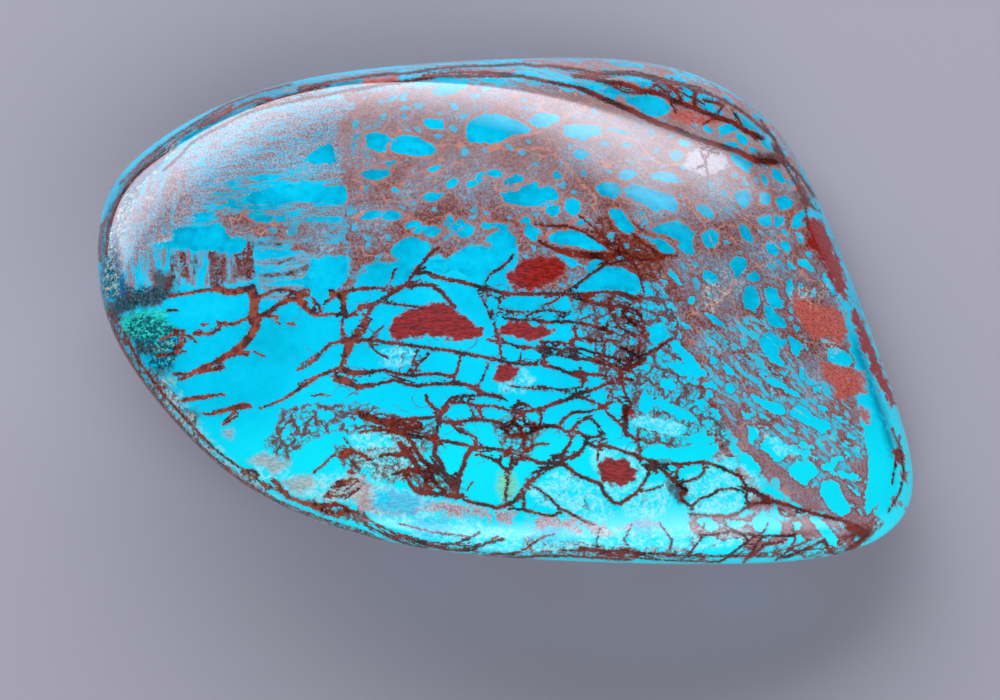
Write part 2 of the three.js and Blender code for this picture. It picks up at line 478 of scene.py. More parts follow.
# One closed outline a row.
PATCH_MARKS = {
    # The speckled brown matrix.
    "matrix": """
300,50 330,44 350,50 370,58 385,68 398,84 404,100 408,112 396,112 385,100 370,82 350,73 330,66 310,56
262,30 300,30 330,33 352,40 372,50 390,66 402,84 408,100 400,96 392,84 384,76 372,66 356,58 340,52 \
322,46 300,40 280,36
143,121 153,120 165,120 172,122 174,128 165,128 153,127 145,125
110,108 122,106 128,110 142,111 156,113 170,114 170,119 150,119 132,119 118,119 112,115
172,60 178,50 200,45 230,42 262,42 290,46 310,54 330,62 348,70 340,90 300,90 240,90 200,90 174,92
170,46 200,43 230,41 262,41 284,43 262,50 220,50 180,54
169,60 173,112 172,120 174,128 176,137 171,142 166,147 171,148 176,144 178,140 181,135 187,131 200,131 \
206,136 214,128 219,127 223,130 232,124 240,123 247,124 247,121 257,120 260,128 259,140 265,146 \
280,147 290,140 300,134 310,135 320,138 328,142 336,150 340,160 342,172 345,184 350,194 356,204 \
364,214 374,230 396,252 420,262 432,266 440,262 436,244 434,226 430,206 428,186 424,168 420,150 \
414,130 406,110 398,92 388,80 372,70 350,62 320,52 290,46 250,44 215,46 190,52
345,258 360,259 375,257 390,259 400,257 410,260 425,264 434,266 429,274 418,273 408,270 396,271 \
385,273 376,275 366,272 358,271 346,268
354,212 366,226 380,245 400,255 425,264 412,262 395,256 375,254 373,243 366,234 356,226
""",
    # Turquoise islands, most of them in the matrix.
    "island": """
300,34 306,35 315,37 324,40 324,42 318,41 308,39 302,37
315,37 323,37 330,39 334,42 333,45 328,45 322,43 316,40
319,41 323,43 322,45 319,44
332,37 338,37 344,40 343,43 337,42 333,41
330,46 336,44 339,48 336,50 331,49
340,43 347,43 348,49 344,51 340,48
349,44 354,45 361,49 360,51 352,50 348,49
348,50 354,51 358,53 354,56 350,54
356,55 360,54 362,57 358,59 356,58
301,45 305,43 312,44 322,45 321,47 308,48 303,47
290,42 296,43 301,48 296,48 290,46
311,49 317,48 324,47 331,49 336,54 332,58 327,59 322,57 318,54 314,52
303,49 308,51 315,55 311,55 304,51
341,65 346,66 348,69 344,68
348,68 352,69 352,72 349,71
359,63 366,61 369,65 364,67 360,69
369,66 374,69 374,73 370,72 368,69
361,71 368,71 371,74 369,77 364,75
352,61 357,65 355,67 352,65
370,57 375,58 381,63 380,66 375,65 371,62
376,56 381,60 380,62 375,58
379,66 384,67 388,73 388,77 383,75 380,71
361,47 364,48 369,53 367,54 362,51
366,56 369,56 370,59 367,60
382,63 385,64 389,69 387,70 383,67
375,73 379,75 378,77 375,76
386,84 390,85 393,91 389,91 386,88
396,86 399,89 398,94 395,91
398,81 402,85 407,94 408,100 405,98 401,90
392,81 396,82 396,86 393,86
400,93 402,95 401,100 399,98
276,33 291,34 292,36 280,36
258,36 269,36 269,40 259,39
216,38 228,37 228,41 216,40
240,30 262,29 262,31 240,32
306,31 322,32 322,34 306,33
336,35 346,38 346,39 337,37
114,90 116,90 119,92 116,94 112,92
121,89 126,88 132,87 140,87 141,89 137,90 128,91
130,82 139,81 140,82 133,84
105,102 110,102 112,103 108,104
113,102 116,98 119,102 117,104 114,103
151,80 158,74 165,71 168,74 168,82 156,82
122,99 127,96 137,93 145,92 150,90 165,93 172,92 174,98 172,103 165,101 160,102 149,101 137,103 \
128,102 123,101
121,107 125,106 128,107 141,108 146,110 139,111 128,111 124,109
149,111 156,108 160,109 153,112
86,115 92,113 100,114 108,113 113,114 114,120 125,120 120,127 97,125 80,124 73,124 78,121 87,120
94,107 98,106 108,106 105,109 96,108
155,130 165,128 173,128 174,140 165,146 153,144 146,142 137,143 135,142 148,139 154,138
182,67 187,66 193,67 195,68 193,74 191,76 187,76 183,73
198,68 202,67 210,69 216,72 218,73 217,78 208,78 195,76 195,74
210,62 213,59 221,59 222,62 221,65 215,64
233,61 242,57 250,57 257,60 266,64 264,67 256,67 251,71 245,72 233,71
264,60 270,56 278,57 280,60 275,63 269,64
282,63 287,62 297,62 301,64 301,68 291,70 282,68
216,46 219,43 225,41 234,41 233,44 227,47 221,48 216,47
181,86 187,85 196,85 195,88 190,90 182,89 177,87
182,81 187,81 187,83 182,83
192,80 200,80 199,82 193,83
203,86 207,84 208,85 207,88 204,88
211,97 215,96 222,96 222,98 217,101 212,100
195,93 200,95 200,97 196,96
182,107 186,105 191,106 189,109 183,109
192,106 197,105 200,107 199,110 193,109
202,101 207,100 210,101 205,103
217,82 220,82 220,85 213,87 212,85
202,112 210,111 211,113 203,115
223,108 226,107 227,109 223,113 222,113
227,113 230,109 232,111 227,115
233,115 234,112 237,112 238,115
224,90 228,88 229,91 226,95 223,93
232,91 234,90 237,90 237,94 235,95
238,87 241,85 242,91 238,92
244,86 247,84 252,86 250,89 245,89
252,91 257,87 262,87 262,91 257,92 253,93 251,92
250,96 259,95 267,91 269,91 269,94 275,92 279,96 279,100 275,100 270,103 257,103 252,100 250,97
273,102 278,102 280,105 279,108 275,107 273,105
282,100 287,99 290,100 290,107 285,107 282,105
276,86 279,85 282,88 280,90 277,89
257,110 260,108 262,110 260,112
263,108 266,108 266,112 262,112
240,105 245,106 244,108 241,108
287,75 290,74 296,77 293,80 287,79
309,87 312,84 317,85 319,87 316,90 310,90
325,87 328,86 336,86 341,90 342,92 338,92 332,91 325,89
297,93 301,91 307,91 311,94 307,99 301,98 299,96
311,94 317,92 322,93 330,96 336,97 337,101 317,101 314,97
334,76 339,75 343,77 341,79 338,81 335,78
338,70 343,70 347,72 343,74 339,72
311,71 316,71 316,74 312,74
301,63 312,65 317,67 310,67
305,58 312,58 310,60 306,59
366,76 370,78 377,82 374,87 369,83 365,79
361,95 363,95 364,98 361,98
367,96 372,95 375,96 376,100 368,100
366,86 369,86 369,89 366,88
180,108 184,105 190,105 191,108 187,110 181,110
192,105 199,105 200,108 197,110 193,110 191,107
201,108 205,107 203,109
201,113 206,110 213,112 208,113 203,114
207,115 211,114 214,113 219,113 220,116 218,119 214,118 213,117 208,117
221,113 223,109 227,108 226,111 223,113 221,115
225,117 226,112 231,110 233,111 229,115 226,118 222,121 220,122 222,118
229,118 231,114 235,112 237,114 237,117 234,119 230,119
239,113 242,111 246,112 246,115 241,114
205,118 211,120 216,122 214,127 211,131 207,134 205,139 203,142 200,143 198,140 197,137 197,134 \
200,132 201,130 197,129 195,126 198,122 201,119
240,120 247,116 254,115 258,119 258,123 259,126 255,129 252,133 247,135 243,138 241,142 238,141 \
234,138 229,136 227,135 222,138 218,136 213,133 215,131 219,129 222,130 226,129 229,126 233,123 \
239,123 246,124 245,121
272,95 276,94 279,98 277,99 272,100
283,101 287,99 291,102 290,106 288,108 284,107 282,104
273,104 277,102 280,105 279,108 275,108 273,106
298,93 301,91 307,92 310,95 309,98 305,99 301,98
310,94 316,93 322,94 330,97 335,97 338,99 339,104 337,107 332,104 328,106 324,104 320,101 314,99 \
311,98 313,96
304,105 309,104 313,107 315,111 318,115 316,117 311,116 308,112 305,108
348,102 353,102 357,106 357,109 355,110 351,108 349,105
323,114 328,113 333,111 338,110 344,113 347,116 346,121 347,126 346,128 342,126 338,123 340,121 \
337,119 331,117 327,116
320,117 325,118 330,119 335,122 338,126 334,128 330,126 327,122 322,119
351,117 355,114 359,116 359,121 358,124 354,124 351,121
368,97 371,95 375,97 375,102 373,105 370,103 368,100
361,97 363,95 364,98 362,99
380,98 383,97 385,99 384,102 381,102
388,99 393,98 397,101 395,104 390,105 388,102
378,110 382,108 385,109 385,112 381,113
387,109 391,109 392,111 389,114 387,112
396,110 399,107 403,107 403,110 399,113 396,114
369,113 372,112 375,115 377,119 376,122 372,120 370,117
383,122 386,121 389,125 388,128 385,127 383,125
365,131 368,128 373,129 374,133 371,137 368,139 366,136
373,138 377,135 380,137 380,140 376,141 374,140
351,137 354,134 358,137 360,140 357,143 354,142 352,140
372,144 376,142 379,146 380,151 378,157 376,156 372,153 371,148
382,146 386,144 389,146 390,150 393,153 389,154 385,151 383,149
381,153 384,153 387,157 390,161 386,162 382,157
344,149 347,148 348,151 346,153 344,151
334,133 337,136 341,141 341,143 338,141 335,137
330,140 333,141 335,143 332,143
330,146 332,145 334,149 332,150
329,158 332,158 334,161 332,162
340,160 343,161 347,165 346,166 342,164
351,162 354,164 359,169 358,170 354,166
352,156 357,158 362,161 363,164 358,162 354,159
361,170 364,171 364,174 361,172
354,175 357,174 358,176 356,177
355,179 358,179 358,182 355,182
367,176 371,179 375,184 372,182 368,178
361,182 365,183 368,187 366,188 363,187
382,169 387,167 390,172 389,178 393,182 389,182 384,178 380,174
394,169 397,170 402,173 404,175 400,175 396,172
395,174 398,175 400,178 398,179 396,177
399,131 403,133 407,136 405,136 401,133
394,141 396,142 395,147 393,145
324,163 329,161 333,165 336,168 331,170 327,174 325,170 322,167
334,170 338,170 342,174 347,179 351,184 354,188 348,189 341,188 336,185 333,182 338,181 342,182 \
340,178 336,174
273,118 280,115 288,115 296,118 303,123 304,126 296,125 286,123 278,122
284,112 291,109 296,110 290,113
296,129 304,130 298,134 292,133
288,132 296,134 304,133 312,134 319,138 322,142 318,146 310,145 300,145 292,145 287,142 294,137
276,126 284,128 290,131 286,135 281,131
262,112 268,113 272,117 268,121 262,118
246,112 252,111 256,114 250,116
380,67 384,69 387,74 386,76 383,74 380,71
394,81 396,85 394,86 393,84
398,81 401,84 406,95 405,97 401,89 399,84
396,88 399,88 399,93 397,91
387,85 390,85 392,91 390,92 388,89
380,87 383,88 384,94 382,94
394,91 396,94 395,96 394,94
380,96 384,96 386,99 384,103 380,102
388,99 394,99 398,101 394,104 390,105 388,102
396,110 398,107 403,104 406,105 412,109 411,112 407,110 404,109 403,113 398,114 396,114
380,108 385,108 386,111 384,114 382,113
387,108 392,108 392,112 389,114 387,113
391,114 394,116 394,119 391,117
398,116 401,117 402,122 399,121
383,120 388,121 390,123 389,128 385,127 383,124
390,120 394,121 396,124 394,127 391,124
403,126 406,126 406,129 404,129
398,129 403,130 407,134 408,136 404,135 400,133
394,130 397,133 398,135 394,134
411,136 414,137 416,142 419,147 416,148 414,144 412,141
406,144 408,144 408,148 406,148
393,141 396,139 397,144 395,150 393,146
399,141 401,141 402,144 399,144
382,144 388,144 389,149 392,151 392,154 386,154 383,150
382,152 384,153 389,157 394,163 391,164 385,163 383,157
381,167 385,166 388,169 393,170 392,174 388,174 389,180 393,182 391,184 386,181 382,177 380,173
394,167 398,170 403,173 404,174 401,174 399,179 396,177 395,172
397,162 400,164 401,166 398,166
414,174 420,174 425,177 427,181 424,184 418,183 414,180
424,146 427,151 432,159 434,166 436,174 435,177 438,184 438,192 437,200 438,210 440,220 441,230 \
442,240 440,250 434,258 432,250 434,240 434,230 433,220 431,212 433,204 434,196 433,188 433,182 \
430,171 426,162 425,154
158,208 160,205 164,205 168,207 168,209 164,210 160,210
172,209 174,208 176,210 175,213 172,213
177,208 180,207 182,210 181,213 178,213
169,204 173,203 176,205 173,206
152,204 156,203 160,204 156,205
166,212 169,212 169,215 166,215
160,213 163,213 162,215 160,215
154,213 157,213 156,216 154,216
146,218 150,214 153,212 150,218
142,214 146,210 144,218 140,222
254,258 257,257 260,258 258,260
261,264 264,263 267,265 264,267
278,257 282,256 285,259 281,261
290,262 293,262 293,265
306,265 310,264 314,265 312,268 308,268
301,271 306,269 310,272 306,274 302,273
316,264 325,264 330,268 328,273 320,275 312,273 313,268
330,264 334,259 341,257 344,262 343,268 338,274 333,270
347,272 350,268 357,268 360,271 356,273 349,277 346,277
351,277 358,272 366,269 372,270 372,274 366,278 359,280 353,280
348,260 353,258 357,260 361,263 356,266 350,263
362,260 370,260 373,262 368,265 363,264
375,261 379,257 386,258 391,262 390,267 384,269 379,266 376,264
379,268 384,270 382,272
395,262 399,260 401,263 397,266
395,268 400,267 402,270 397,273 393,273
391,267 394,268 393,271
405,256 412,261 418,268 420,274 415,272 410,266 405,260
330,190 335,189 338,192 339,194 334,196 330,193
345,191 350,190 348,194
351,192 356,191 360,194 357,195 354,194
352,196 356,195 357,198 354,200
362,193 365,191 368,195 367,197 363,196
347,200 351,199 353,203 350,204
353,205 357,204 361,208 359,210 355,207
351,210 354,209 356,213 353,213
359,203 362,203 361,205
319,205 320,198 324,196 326,198 327,203 325,206 320,206
327,198 330,198 334,201 341,204 347,207 351,210 346,211 338,208 331,205 328,203
315,210 320,208 328,209 336,210 342,212 346,215 342,217 337,219 331,217 325,215 319,214 316,212
341,220 345,217 350,216 356,218 359,220 354,222 347,222 342,221
348,214 354,214 358,216 352,216
320,227 324,223 330,222 335,224 340,224 344,222 352,222 359,222 360,225 356,229 348,231 340,232 \
333,230 326,229 321,229
360,231 366,228 370,231 369,235 363,235
369,228 373,226 377,230 381,235 381,237 376,235 371,234 370,231
373,236 378,237 377,239
373,212 379,214 380,218 377,220 376,223 374,220 375,216
380,222 384,218 389,219 393,222 394,227 391,231 388,231 384,226 380,225
392,222 398,223 404,226 409,229 404,229 398,227 394,225
394,234 397,231 403,230 408,232 409,237 406,240 402,243 398,240 395,237
410,233 414,231 419,232 416,235 411,235
415,229 420,228 425,230 418,231
378,185 382,186 388,190 395,194 402,198 398,199 391,195 384,191 379,187
375,197 380,199 386,201 391,202 393,206 390,208 384,205 378,201
394,206 399,202 404,205 409,209 415,211 416,214 411,217 405,213 399,210 395,208
408,202 413,203 414,206 410,205
416,207 421,208 425,212 419,210
406,194 410,193 411,196 407,197
400,183 402,184 402,191 400,189
369,206 373,207 376,210 372,210
372,203 379,206 388,210 384,210 376,207
380,211 385,213 384,215 381,213
392,212 398,215 396,216
399,220 405,222 408,224 404,225 400,222
420,220 424,220 426,223 422,223
425,212 431,216 437,221 430,217
423,216 430,220 426,220
421,225 427,228 423,228
415,236 421,235 428,237 433,241 426,240 418,238
411,241 416,240 419,242 421,247 424,251 425,257 420,258 415,255 412,250 410,247
423,241 428,245 433,249 427,247
426,251 430,254 431,258
382,193 389,197 386,197
387,201 391,203 389,204
""",
    # Dark brown patches.
    "dark": """
377,77 387,75 392,77 393,82 387,82 378,82
77,134 84,136 88,142 87,147 80,150 70,150 62,156 58,158 58,152 66,148 76,144
380,77 386,77 393,79 394,81 388,82 380,81
399,92 404,96 407,102 409,106 403,104 399,101 397,96
58,150 64,146 72,147 80,148 83,150 80,153 74,153 68,154 62,157 58,160 54,158 53,150
66,168 73,172 77,173 76,178 70,177 67,173
95,205 99,204 100,208 98,212 94,211
80,183 84,186 82,190 79,186
333,238 338,240 343,243 344,249 340,252 336,247
424,262 430,264 434,267 431,270 426,268
""",
    # Fibrous red patches.
    "red": """
194,165 196,160 200,156 206,154 212,153 216,151 222,151 227,154 231,158 236,160 241,164 241,168 \
236,170 230,171 222,169 214,168 206,170 198,170 194,168
248,166 251,162 256,160 262,161 268,163 274,163 278,165 275,168 268,170 262,170 256,168 250,168
253,139 256,134 261,130 267,128 274,128 281,130 284,134 281,138 276,141 270,143 266,146 260,146 255,143
246,186 249,183 254,182 259,184 259,188 256,191 250,191 247,189
404,115 410,114 415,119 419,128 423,141 420,146 414,135 409,127 404,124
410,112 414,120 419,132 423,143 424,150 420,148 414,138 410,128 409,118
426,150 431,160 437,174 443,188 449,203 445,203 438,190 431,174 426,160
402,108 410,110 416,120 421,134 424,146 418,138 412,126 404,118
173,234 177,234 178,237 174,237
299,231 303,229 309,229 314,231 318,235 317,240 312,243 305,243 301,240 299,236
311,203 318,203 317,209 312,210
447,223 451,224 453,229 452,233 447,231 446,227
450,234 453,236 454,241 451,240
445,247 450,250 452,254 446,252
437,178 440,182 443,188 446,196 443,196 440,188
""",
    # Salmon patches.
    "salmon": """
337,56 345,55 350,58 362,59 360,61 350,62 342,62 336,60
182,39 192,39 200,38 200,41 190,42 182,42
230,35 245,35 257,35 256,37 240,37 230,37
396,146 403,149 410,153 418,154 423,159 424,166 420,172 414,169 408,169 401,163 397,155
410,181 420,183 432,186 433,196 424,198 413,190
435,177 439,182 443,189 446,197 441,196 438,188
411,184 418,182 427,186 429,193 424,198 419,201 417,194 412,188
430,203 435,205 434,212 431,211
""",
    # Pale brown patches at the lower left.
    "pale": """
124,230 130,226 133,227 139,228 145,231 141,235 137,237 134,236 132,233 127,232
112,213 114,213 116,217 115,220 113,219
141,242 147,239 156,237 157,243 150,247 144,244
162,248 167,242 173,237 178,237 185,240 185,260 180,252 173,246 165,249
""",
    # A painted glint: the white patch of reflected light at the upper right.
    "painted_glint": """
340,82 345,77 350,74 353,74 362,77 364,79 364,83 360,85 354,89 350,87 347,85
""",
    # The green patch at the left end.
    "green": """
60,160 65,157 70,155 78,154 82,155 84,160 88,164 87,167 82,169 73,172 66,168 62,165
""",
    # Pale green patches below it.
    "palegreen": """
76,173 81,172 85,169 87,172 83,176 78,178
84,188 87,188 88,193 85,193
84,180 88,179 87,182
""",
    # Where thin streaks lie lengthways.
    "streaks": """
84,82 100,70 124,62 150,58 172,56 174,90 173,120 170,128 150,128 140,124 128,122 120,118 112,112 \
100,104 92,108 84,100
128,120 172,120 172,128 160,140 152,150 130,150 128,135
172,36 200,32 230,29 260,28 290,28 320,29 345,34 330,60 300,48 250,38 200,42 174,46 130,56 100,70 \
90,76 110,60 140,46
100,66 130,54 160,49 176,46 176,60 174,90 150,84 120,80 104,82
60,128 78,118 96,104 112,96 118,104 110,112 96,112 84,120 70,128
140,84 174,76 174,92 160,92 140,86
""",
    # Where they stand crossways.
    "combs": """
58,104 66,92 80,82 92,84 100,100 100,106 84,114 74,124 96,124 126,122 128,140 108,144 86,142 84,148 \
60,150 56,130
""",
    # Ragged nets of fine cracks.
    "meshed": """
298,108 312,108 324,114 334,124 334,134 326,142 312,138 298,136 290,134 296,124
308,118 316,117 322,121 327,125 328,131 324,136 318,135 311,133 303,131 296,133 297,129 304,129 309,126
140,204 145,205 150,202 156,201 170,202 185,202 185,217 180,216 175,217 170,216 162,217 156,220 \
152,222 148,226 145,230 137,228 131,223 133,220 137,215 140,209
150,250 158,249 166,252 176,252 184,256 184,262 170,260 158,256
50,150 56,156 60,160 64,168 68,176 76,184 84,193 92,202 97,212 104,221 110,229 120,237 132,245 128,247 \
112,238 98,225 86,210 74,196 62,178 52,160
166,222 186,224 196,232 200,242 186,240 172,234
175,222 190,224 205,222 216,232 222,240 228,247 210,246 200,240 190,236 180,232
245,212 256,206 266,210 276,213 268,219 266,230 256,231 250,222
284,146 300,146 312,150 322,160 320,175 316,192 306,196 298,182 294,172 288,160
185,202 200,208 218,212 220,222 212,226 200,222 185,216
262,268 300,272 345,274 346,279 300,279 262,277
190,266 230,274 262,277 262,279 225,276 196,270
314,150 326,142 336,150 342,170 350,190 360,206 366,222 352,231 330,232 318,228 316,205 314,180
345,268 380,274 408,272 426,266 438,258 442,262 430,274 408,279 345,279
""",
    # Painted highlight: a grey-pink band of reflected light along the near belt.
    "belt_sheen": """
178,240 190,244 206,247 215,250 228,251 240,254 252,255 265,256 278,258 286,257 296,261 305,263 \
314,262 324,260 330,262 322,266 312,266 303,268 296,267 285,266 272,265 258,263 245,261 235,258 \
222,258 212,256 203,258 190,258 182,256 176,250
""",
    # Pale frost on the near half, partly a painted reflection of the near light.
    "frosted_and_reflecting": """
126,228 140,232 150,240 160,238 176,236 190,240 184,250 160,250 140,246 128,238
264,246 280,234 300,244 308,256 300,262 285,258 270,252
294,222 318,224 324,236 318,248 305,252 300,240 296,232
310,252 322,242 334,240 336,252 328,260 316,260
343,238 360,234 370,240 373,252 360,258 348,256 340,248
315,208 330,208 342,212 346,215 336,218 325,216 316,213
175,215 200,215 212,225 205,240 190,240 178,232
225,258 240,260 245,266 236,270 226,266
300,264 330,264 372,262 376,272 340,276 300,274
186,246 200,246 200,256 188,255
378,214 394,222 400,228 390,228 384,222
182,244 190,242 216,248 220,258 210,268 196,262 184,258
250,188 262,184 268,190 262,196 250,196
190,176 204,172 208,180 200,184 190,182
200,258 240,263 300,268 300,276 250,276 205,268
360,226 384,240 374,252 356,252 340,246
""",
    # Painted shade: darker turquoise at the upper left and along the right edge, where the surface turns
    # away from the light.
    "painted_shade": """
50,150 50,120 54,104 62,90 74,78 90,66 110,54 130,46 150,41 180,37 200,35 200,41 170,45 140,51 110,62 \
90,76 76,88 66,100 60,116 62,150
428,164 433,178 438,192 444,208 449,226 446,230 441,214 436,200 431,186 427,176
""",
    # Painted reflection: a grey-pink haze of reflected light over the upper left.
    "reflection_haze": """
84,84 96,72 120,58 150,50 200,46 200,58 180,70 172,90 150,86 128,84 108,94 98,106 92,114 80,122 66,132 \
58,140 58,112 70,96
""",
    # Pale flecks, partly real and partly painted highlight: a glint at the far edge and bright lines along
    # the left rim.
    "flecks_and_glints": """
386,66 390,70 388,72 384,68
70,124 78,121 85,119 85,121 78,123
72,99 78,96 79,98 74,101
53,136 60,133 60,135 54,138
77,77 84,73 86,74 80,78
52,130 54,112 60,98 70,86 80,76 88,70 90,74 80,84 70,96 64,110 60,126 60,146 52,150
397,146 403,150 401,148
405,151 408,155 406,154
415,173 419,176 416,176
411,142 415,145 412,145
351,143 356,140 364,143 366,148 360,151 356,156 351,153 352,148
395,146 401,143 410,145 414,141 416,146 408,150 400,150 396,154
412,170 417,170 420,175 416,178 412,176
76,190 84,188 96,206 108,222 124,238 142,250 138,254 118,242 100,226 84,208
150,240 170,236 182,240 180,252 160,254 146,250
""",
    # Where single cracks come and go.
    "crackled": """
150,150 200,142 260,140 320,140 330,160 330,200 360,230 370,255 330,262 280,258 230,250 190,240 \
170,220 150,200 140,170
""",
    # Dark teal blotches at the left end.
    "teal": """
50,150 51,118 55,104 62,92 72,80 80,72 84,78 76,86 70,94 64,106 60,122 60,136 58,150
57,142 66,143 78,143 86,146 84,150 70,154 58,156
62,160 72,157 88,163 92,172 86,184 78,186 68,174
""",
    # Blue spots in and beside the band.
    "bluespot": """
142,262 150,262 148,266
186,246 196,245 208,247 214,252 206,257 194,257 186,253
206,261 214,260 224,263 224,268 214,269 206,266
266,266 280,264 286,268 276,271 266,270
316,262 326,262 328,266 318,268
""",
    # The yellow-green spot above the band.
    "yellow": """
250,236 257,236 259,244 256,250 250,250 248,242
""",
    # Thin splinters at the lower right.
    "splinters": """
352,160 384,158 400,180 424,200 434,226 430,246 404,244 380,226 362,206 352,190
""",
}


def chart_axes():
    """The camera's place in mm and its right, up and forward directions."""
    lift = math.radians(CAMERA_ELEVATION)
    right = np.array([1.0, 0.0, 0.0])
    up = np.array([0.0, math.sin(lift), math.cos(lift)])
    forward = np.array([0.0, math.cos(lift), -math.sin(lift)])
    place = np.array(CAMERA_AIM) - CAMERA_DISTANCE * forward
    return place, right, up, forward


def chart_places(points):
    """Where points in mm come on the chart, and the directions of their lines of sight."""
    place, right, up, forward = chart_axes()
    away = points - place
    ahead = away @ forward
    scale = CAMERA_DISTANCE / CHART_UNIT
    across = CHART_MIDDLE[0] + scale * (away @ right) / ahead
    down = CHART_MIDDLE[1] - scale * (away @ up) / ahead
    sight = away / np.linalg.norm(away, axis=1)[:, None]
    return np.stack([across, down], axis=1), sight


def read_outline(text):
    """The points of an outline such as '12,30 18,34'."""
    return np.array([[float(number) for number in pair.split(",")] for pair in text.split()])


def outlines(text):
    """The points of each row such as '12,30 18,34'."""
    return [read_outline(row) for row in text.strip().splitlines()]


def lines(text):
    """(width, points) of each row such as '1.2: 12,30 18,34'."""
    rows = []
    for row in text.strip().splitlines():
        width, _, places = row.partition(":")
        rows.append((float(width), read_outline(places)))
    return rows


def near(chart, start, end):
    """The indices of the places that lie near enough to the box that spans two points."""
    low = np.minimum(start, end) - MARK_REACH
    high = np.maximum(start, end) + MARK_REACH
    return np.nonzero(
        (chart[:, 0] > low[0])
        & (chart[:, 0] < high[0])
        & (chart[:, 1] > low[1])
        & (chart[:, 1] < high[1])
    )[0]


def segment_distance(places, start, end):
    """Distance to a segment, negative to the left of its run as it is drawn."""
    run = end - start
    off = places - start
    along = np.clip(off @ run / (run @ run), 0.0, 1.0)
    gap = np.linalg.norm(off - along[:, None] * run, axis=1)
    side = np.where(run[0] * off[:, 1] - run[1] * off[:, 0] < 0.0, -1.0, 1.0)
    return gap * side


def line_field(chart, rows):
    """Signed distance to the nearest line, its half width, and the gap to its edge."""
    side = np.full(len(chart), MARK_REACH)
    half = np.zeros(len(chart))
    gap = np.full(len(chart), MARK_REACH)
    for width, points in rows:
        for start, end in zip(points[:-1], points[1:]):
            index = near(chart, start, end)
            signed = segment_distance(chart[index], start, end)
            edge = np.abs(signed) - width / 2
            closer = edge < gap[index]
            chosen = index[closer]
            side[chosen] = signed[closer]
            half[chosen] = width / 2
            gap[chosen] = edge[closer]
    return side, half, gap


def patch_field(chart, shapes):
    """Signed distance to the nearest outline, negative inside."""
    field = np.full(len(chart), MARK_REACH)
    for points in shapes:
        index = near(chart, points.min(axis=0), points.max(axis=0))
        places = chart[index]
        gap = np.full(len(index), MARK_REACH)
        inside = np.zeros(len(index), dtype=bool)
        for start, end in zip(points, np.roll(points, -1, axis=0)):
            gap = np.minimum(gap, np.abs(segment_distance(places, start, end)))
            rise = end[1] - start[1]
            if rise != 0.0:
                crosses = (start[1] > places[:, 1]) != (end[1] > places[:, 1])
                at = start[0] + (places[:, 1] - start[1]) * (end[0] - start[0]) / rise
                inside ^= crosses & (places[:, 0] < at)
        field[index] = np.minimum(field[index], np.where(inside, -gap, gap))
    return field


def net_directions(detail):
    """Even directions round the stone from an icosahedron whose faces are divided."""
    golden = (1 + math.sqrt(5)) / 2
    corners = np.array(
        [
            (-1, golden, 0), (1, golden, 0), (-1, -golden, 0), (1, -golden, 0),
            (0, -1, golden), (0, 1, golden), (0, -1, -golden), (0, 1, -golden),
            (golden, 0, -1), (golden, 0, 1), (-golden, 0, -1), (-golden, 0, 1),
        ]
    )
    sides = [
        (0, 11, 5), (0, 5, 1), (0, 1, 7), (0, 7, 10), (0, 10, 11),
        (1, 5, 9), (5, 11, 4), (11, 10, 2), (10, 7, 6), (7, 1, 8),
        (3, 9, 4), (3, 4, 2), (3, 2, 6), (3, 6, 8), (3, 8, 9),
        (4, 9, 5), (2, 4, 11), (6, 2, 10), (8, 6, 7), (9, 8, 1),
    ]
    row, column = np.meshgrid(np.arange(detail + 1), np.arange(detail + 1), indexing="ij")
    used = row + column <= detail
    number = np.full(row.shape, -1)
    number[used] = np.arange(used.sum())
    share = np.stack([detail - row[used] - column[used], row[used], column[used]], axis=1) / detail

    def corner_numbers(start, *steps):
        """The numbers of triangles' corners, some rows and columns on from their start."""
        ends = [number[row[start] + down, column[start] + aside] for down, aside in steps]
        return np.stack(ends, axis=1)

    upright = corner_numbers(row + column < detail, (0, 0), (1, 0), (0, 1))
    turned = corner_numbers(row + column < detail - 1, (1, 0), (1, 1), (0, 1))
    triangles = np.concatenate([upright, turned])

    # The sides share the points of their edges, which are joined here.
    points = np.concatenate([share @ corners[list(side)] for side in sides])
    faces = np.concatenate([triangles + k * len(share) for k in range(len(sides))])
    rounded = np.round(points, NET_DIGITS)
    _, first, joined = np.unique(rounded, axis=0, return_index=True, return_inverse=True)
    joined = joined.reshape(-1)
    points = points[first]
    return points / np.linalg.norm(points, axis=1)[:, None], joined[faces]


def worn_planes():
    """The outward normal of each worn face and its reach in mm."""
    azimuth, lift, reach = np.array(list(WORN_FACES.values()), dtype=float).T
    azimuth, lift = np.radians(azimuth), np.radians(lift)
    level = np.cos(lift)
    normals = np.stack([level * np.cos(azimuth), level * np.sin(azimuth), np.sin(lift)], axis=1)
    return normals, reach


def skin(directions, rounding):
    """Points of the skin in mm from the middle of the stone, and the skin's normals.

    The skin is where a soft maximum of the distances in front of the planes is zero.
    """
    normals, reach = worn_planes()
    facing = directions @ normals.T
    plane = np.where(facing > LEAST_FACING, reach / np.maximum(facing, LEAST_FACING), np.inf)
    distance = plane.min(axis=1)
    for _ in range(SKIN_STEPS):
        weight = np.exp((facing * distance[:, None] - reach) / rounding)
        total = weight.sum(axis=1)
        slope = (weight * facing).sum(axis=1) / total
        distance = distance - rounding * np.log(total) / slope
    outward = weight @ normals
    outward /= np.linalg.norm(outward, axis=1)[:, None]
    return directions * distance[:, None], outward


def stone_surface(detail, rounding):
    """Points in mm, triangles and normals of the stone, resting at Z = 0."""
    directions, triangles = net_directions(detail)
    directions = directions * NET_RADII + np.array([0.0, 0.0, NET_RISE])
    directions /= np.linalg.norm(directions, axis=1)[:, None]
    points, outward = skin(directions, rounding)
    low, high = points.min(axis=0), points.max(axis=0)
    rest = low[2] + REST_FLAT_DEPTH
    points[:, 2] = np.maximum(points[:, 2], rest)
    points -= [(low[0] + high[0]) / 2, (low[1] + high[1]) / 2, rest]
    return points, triangles, outward


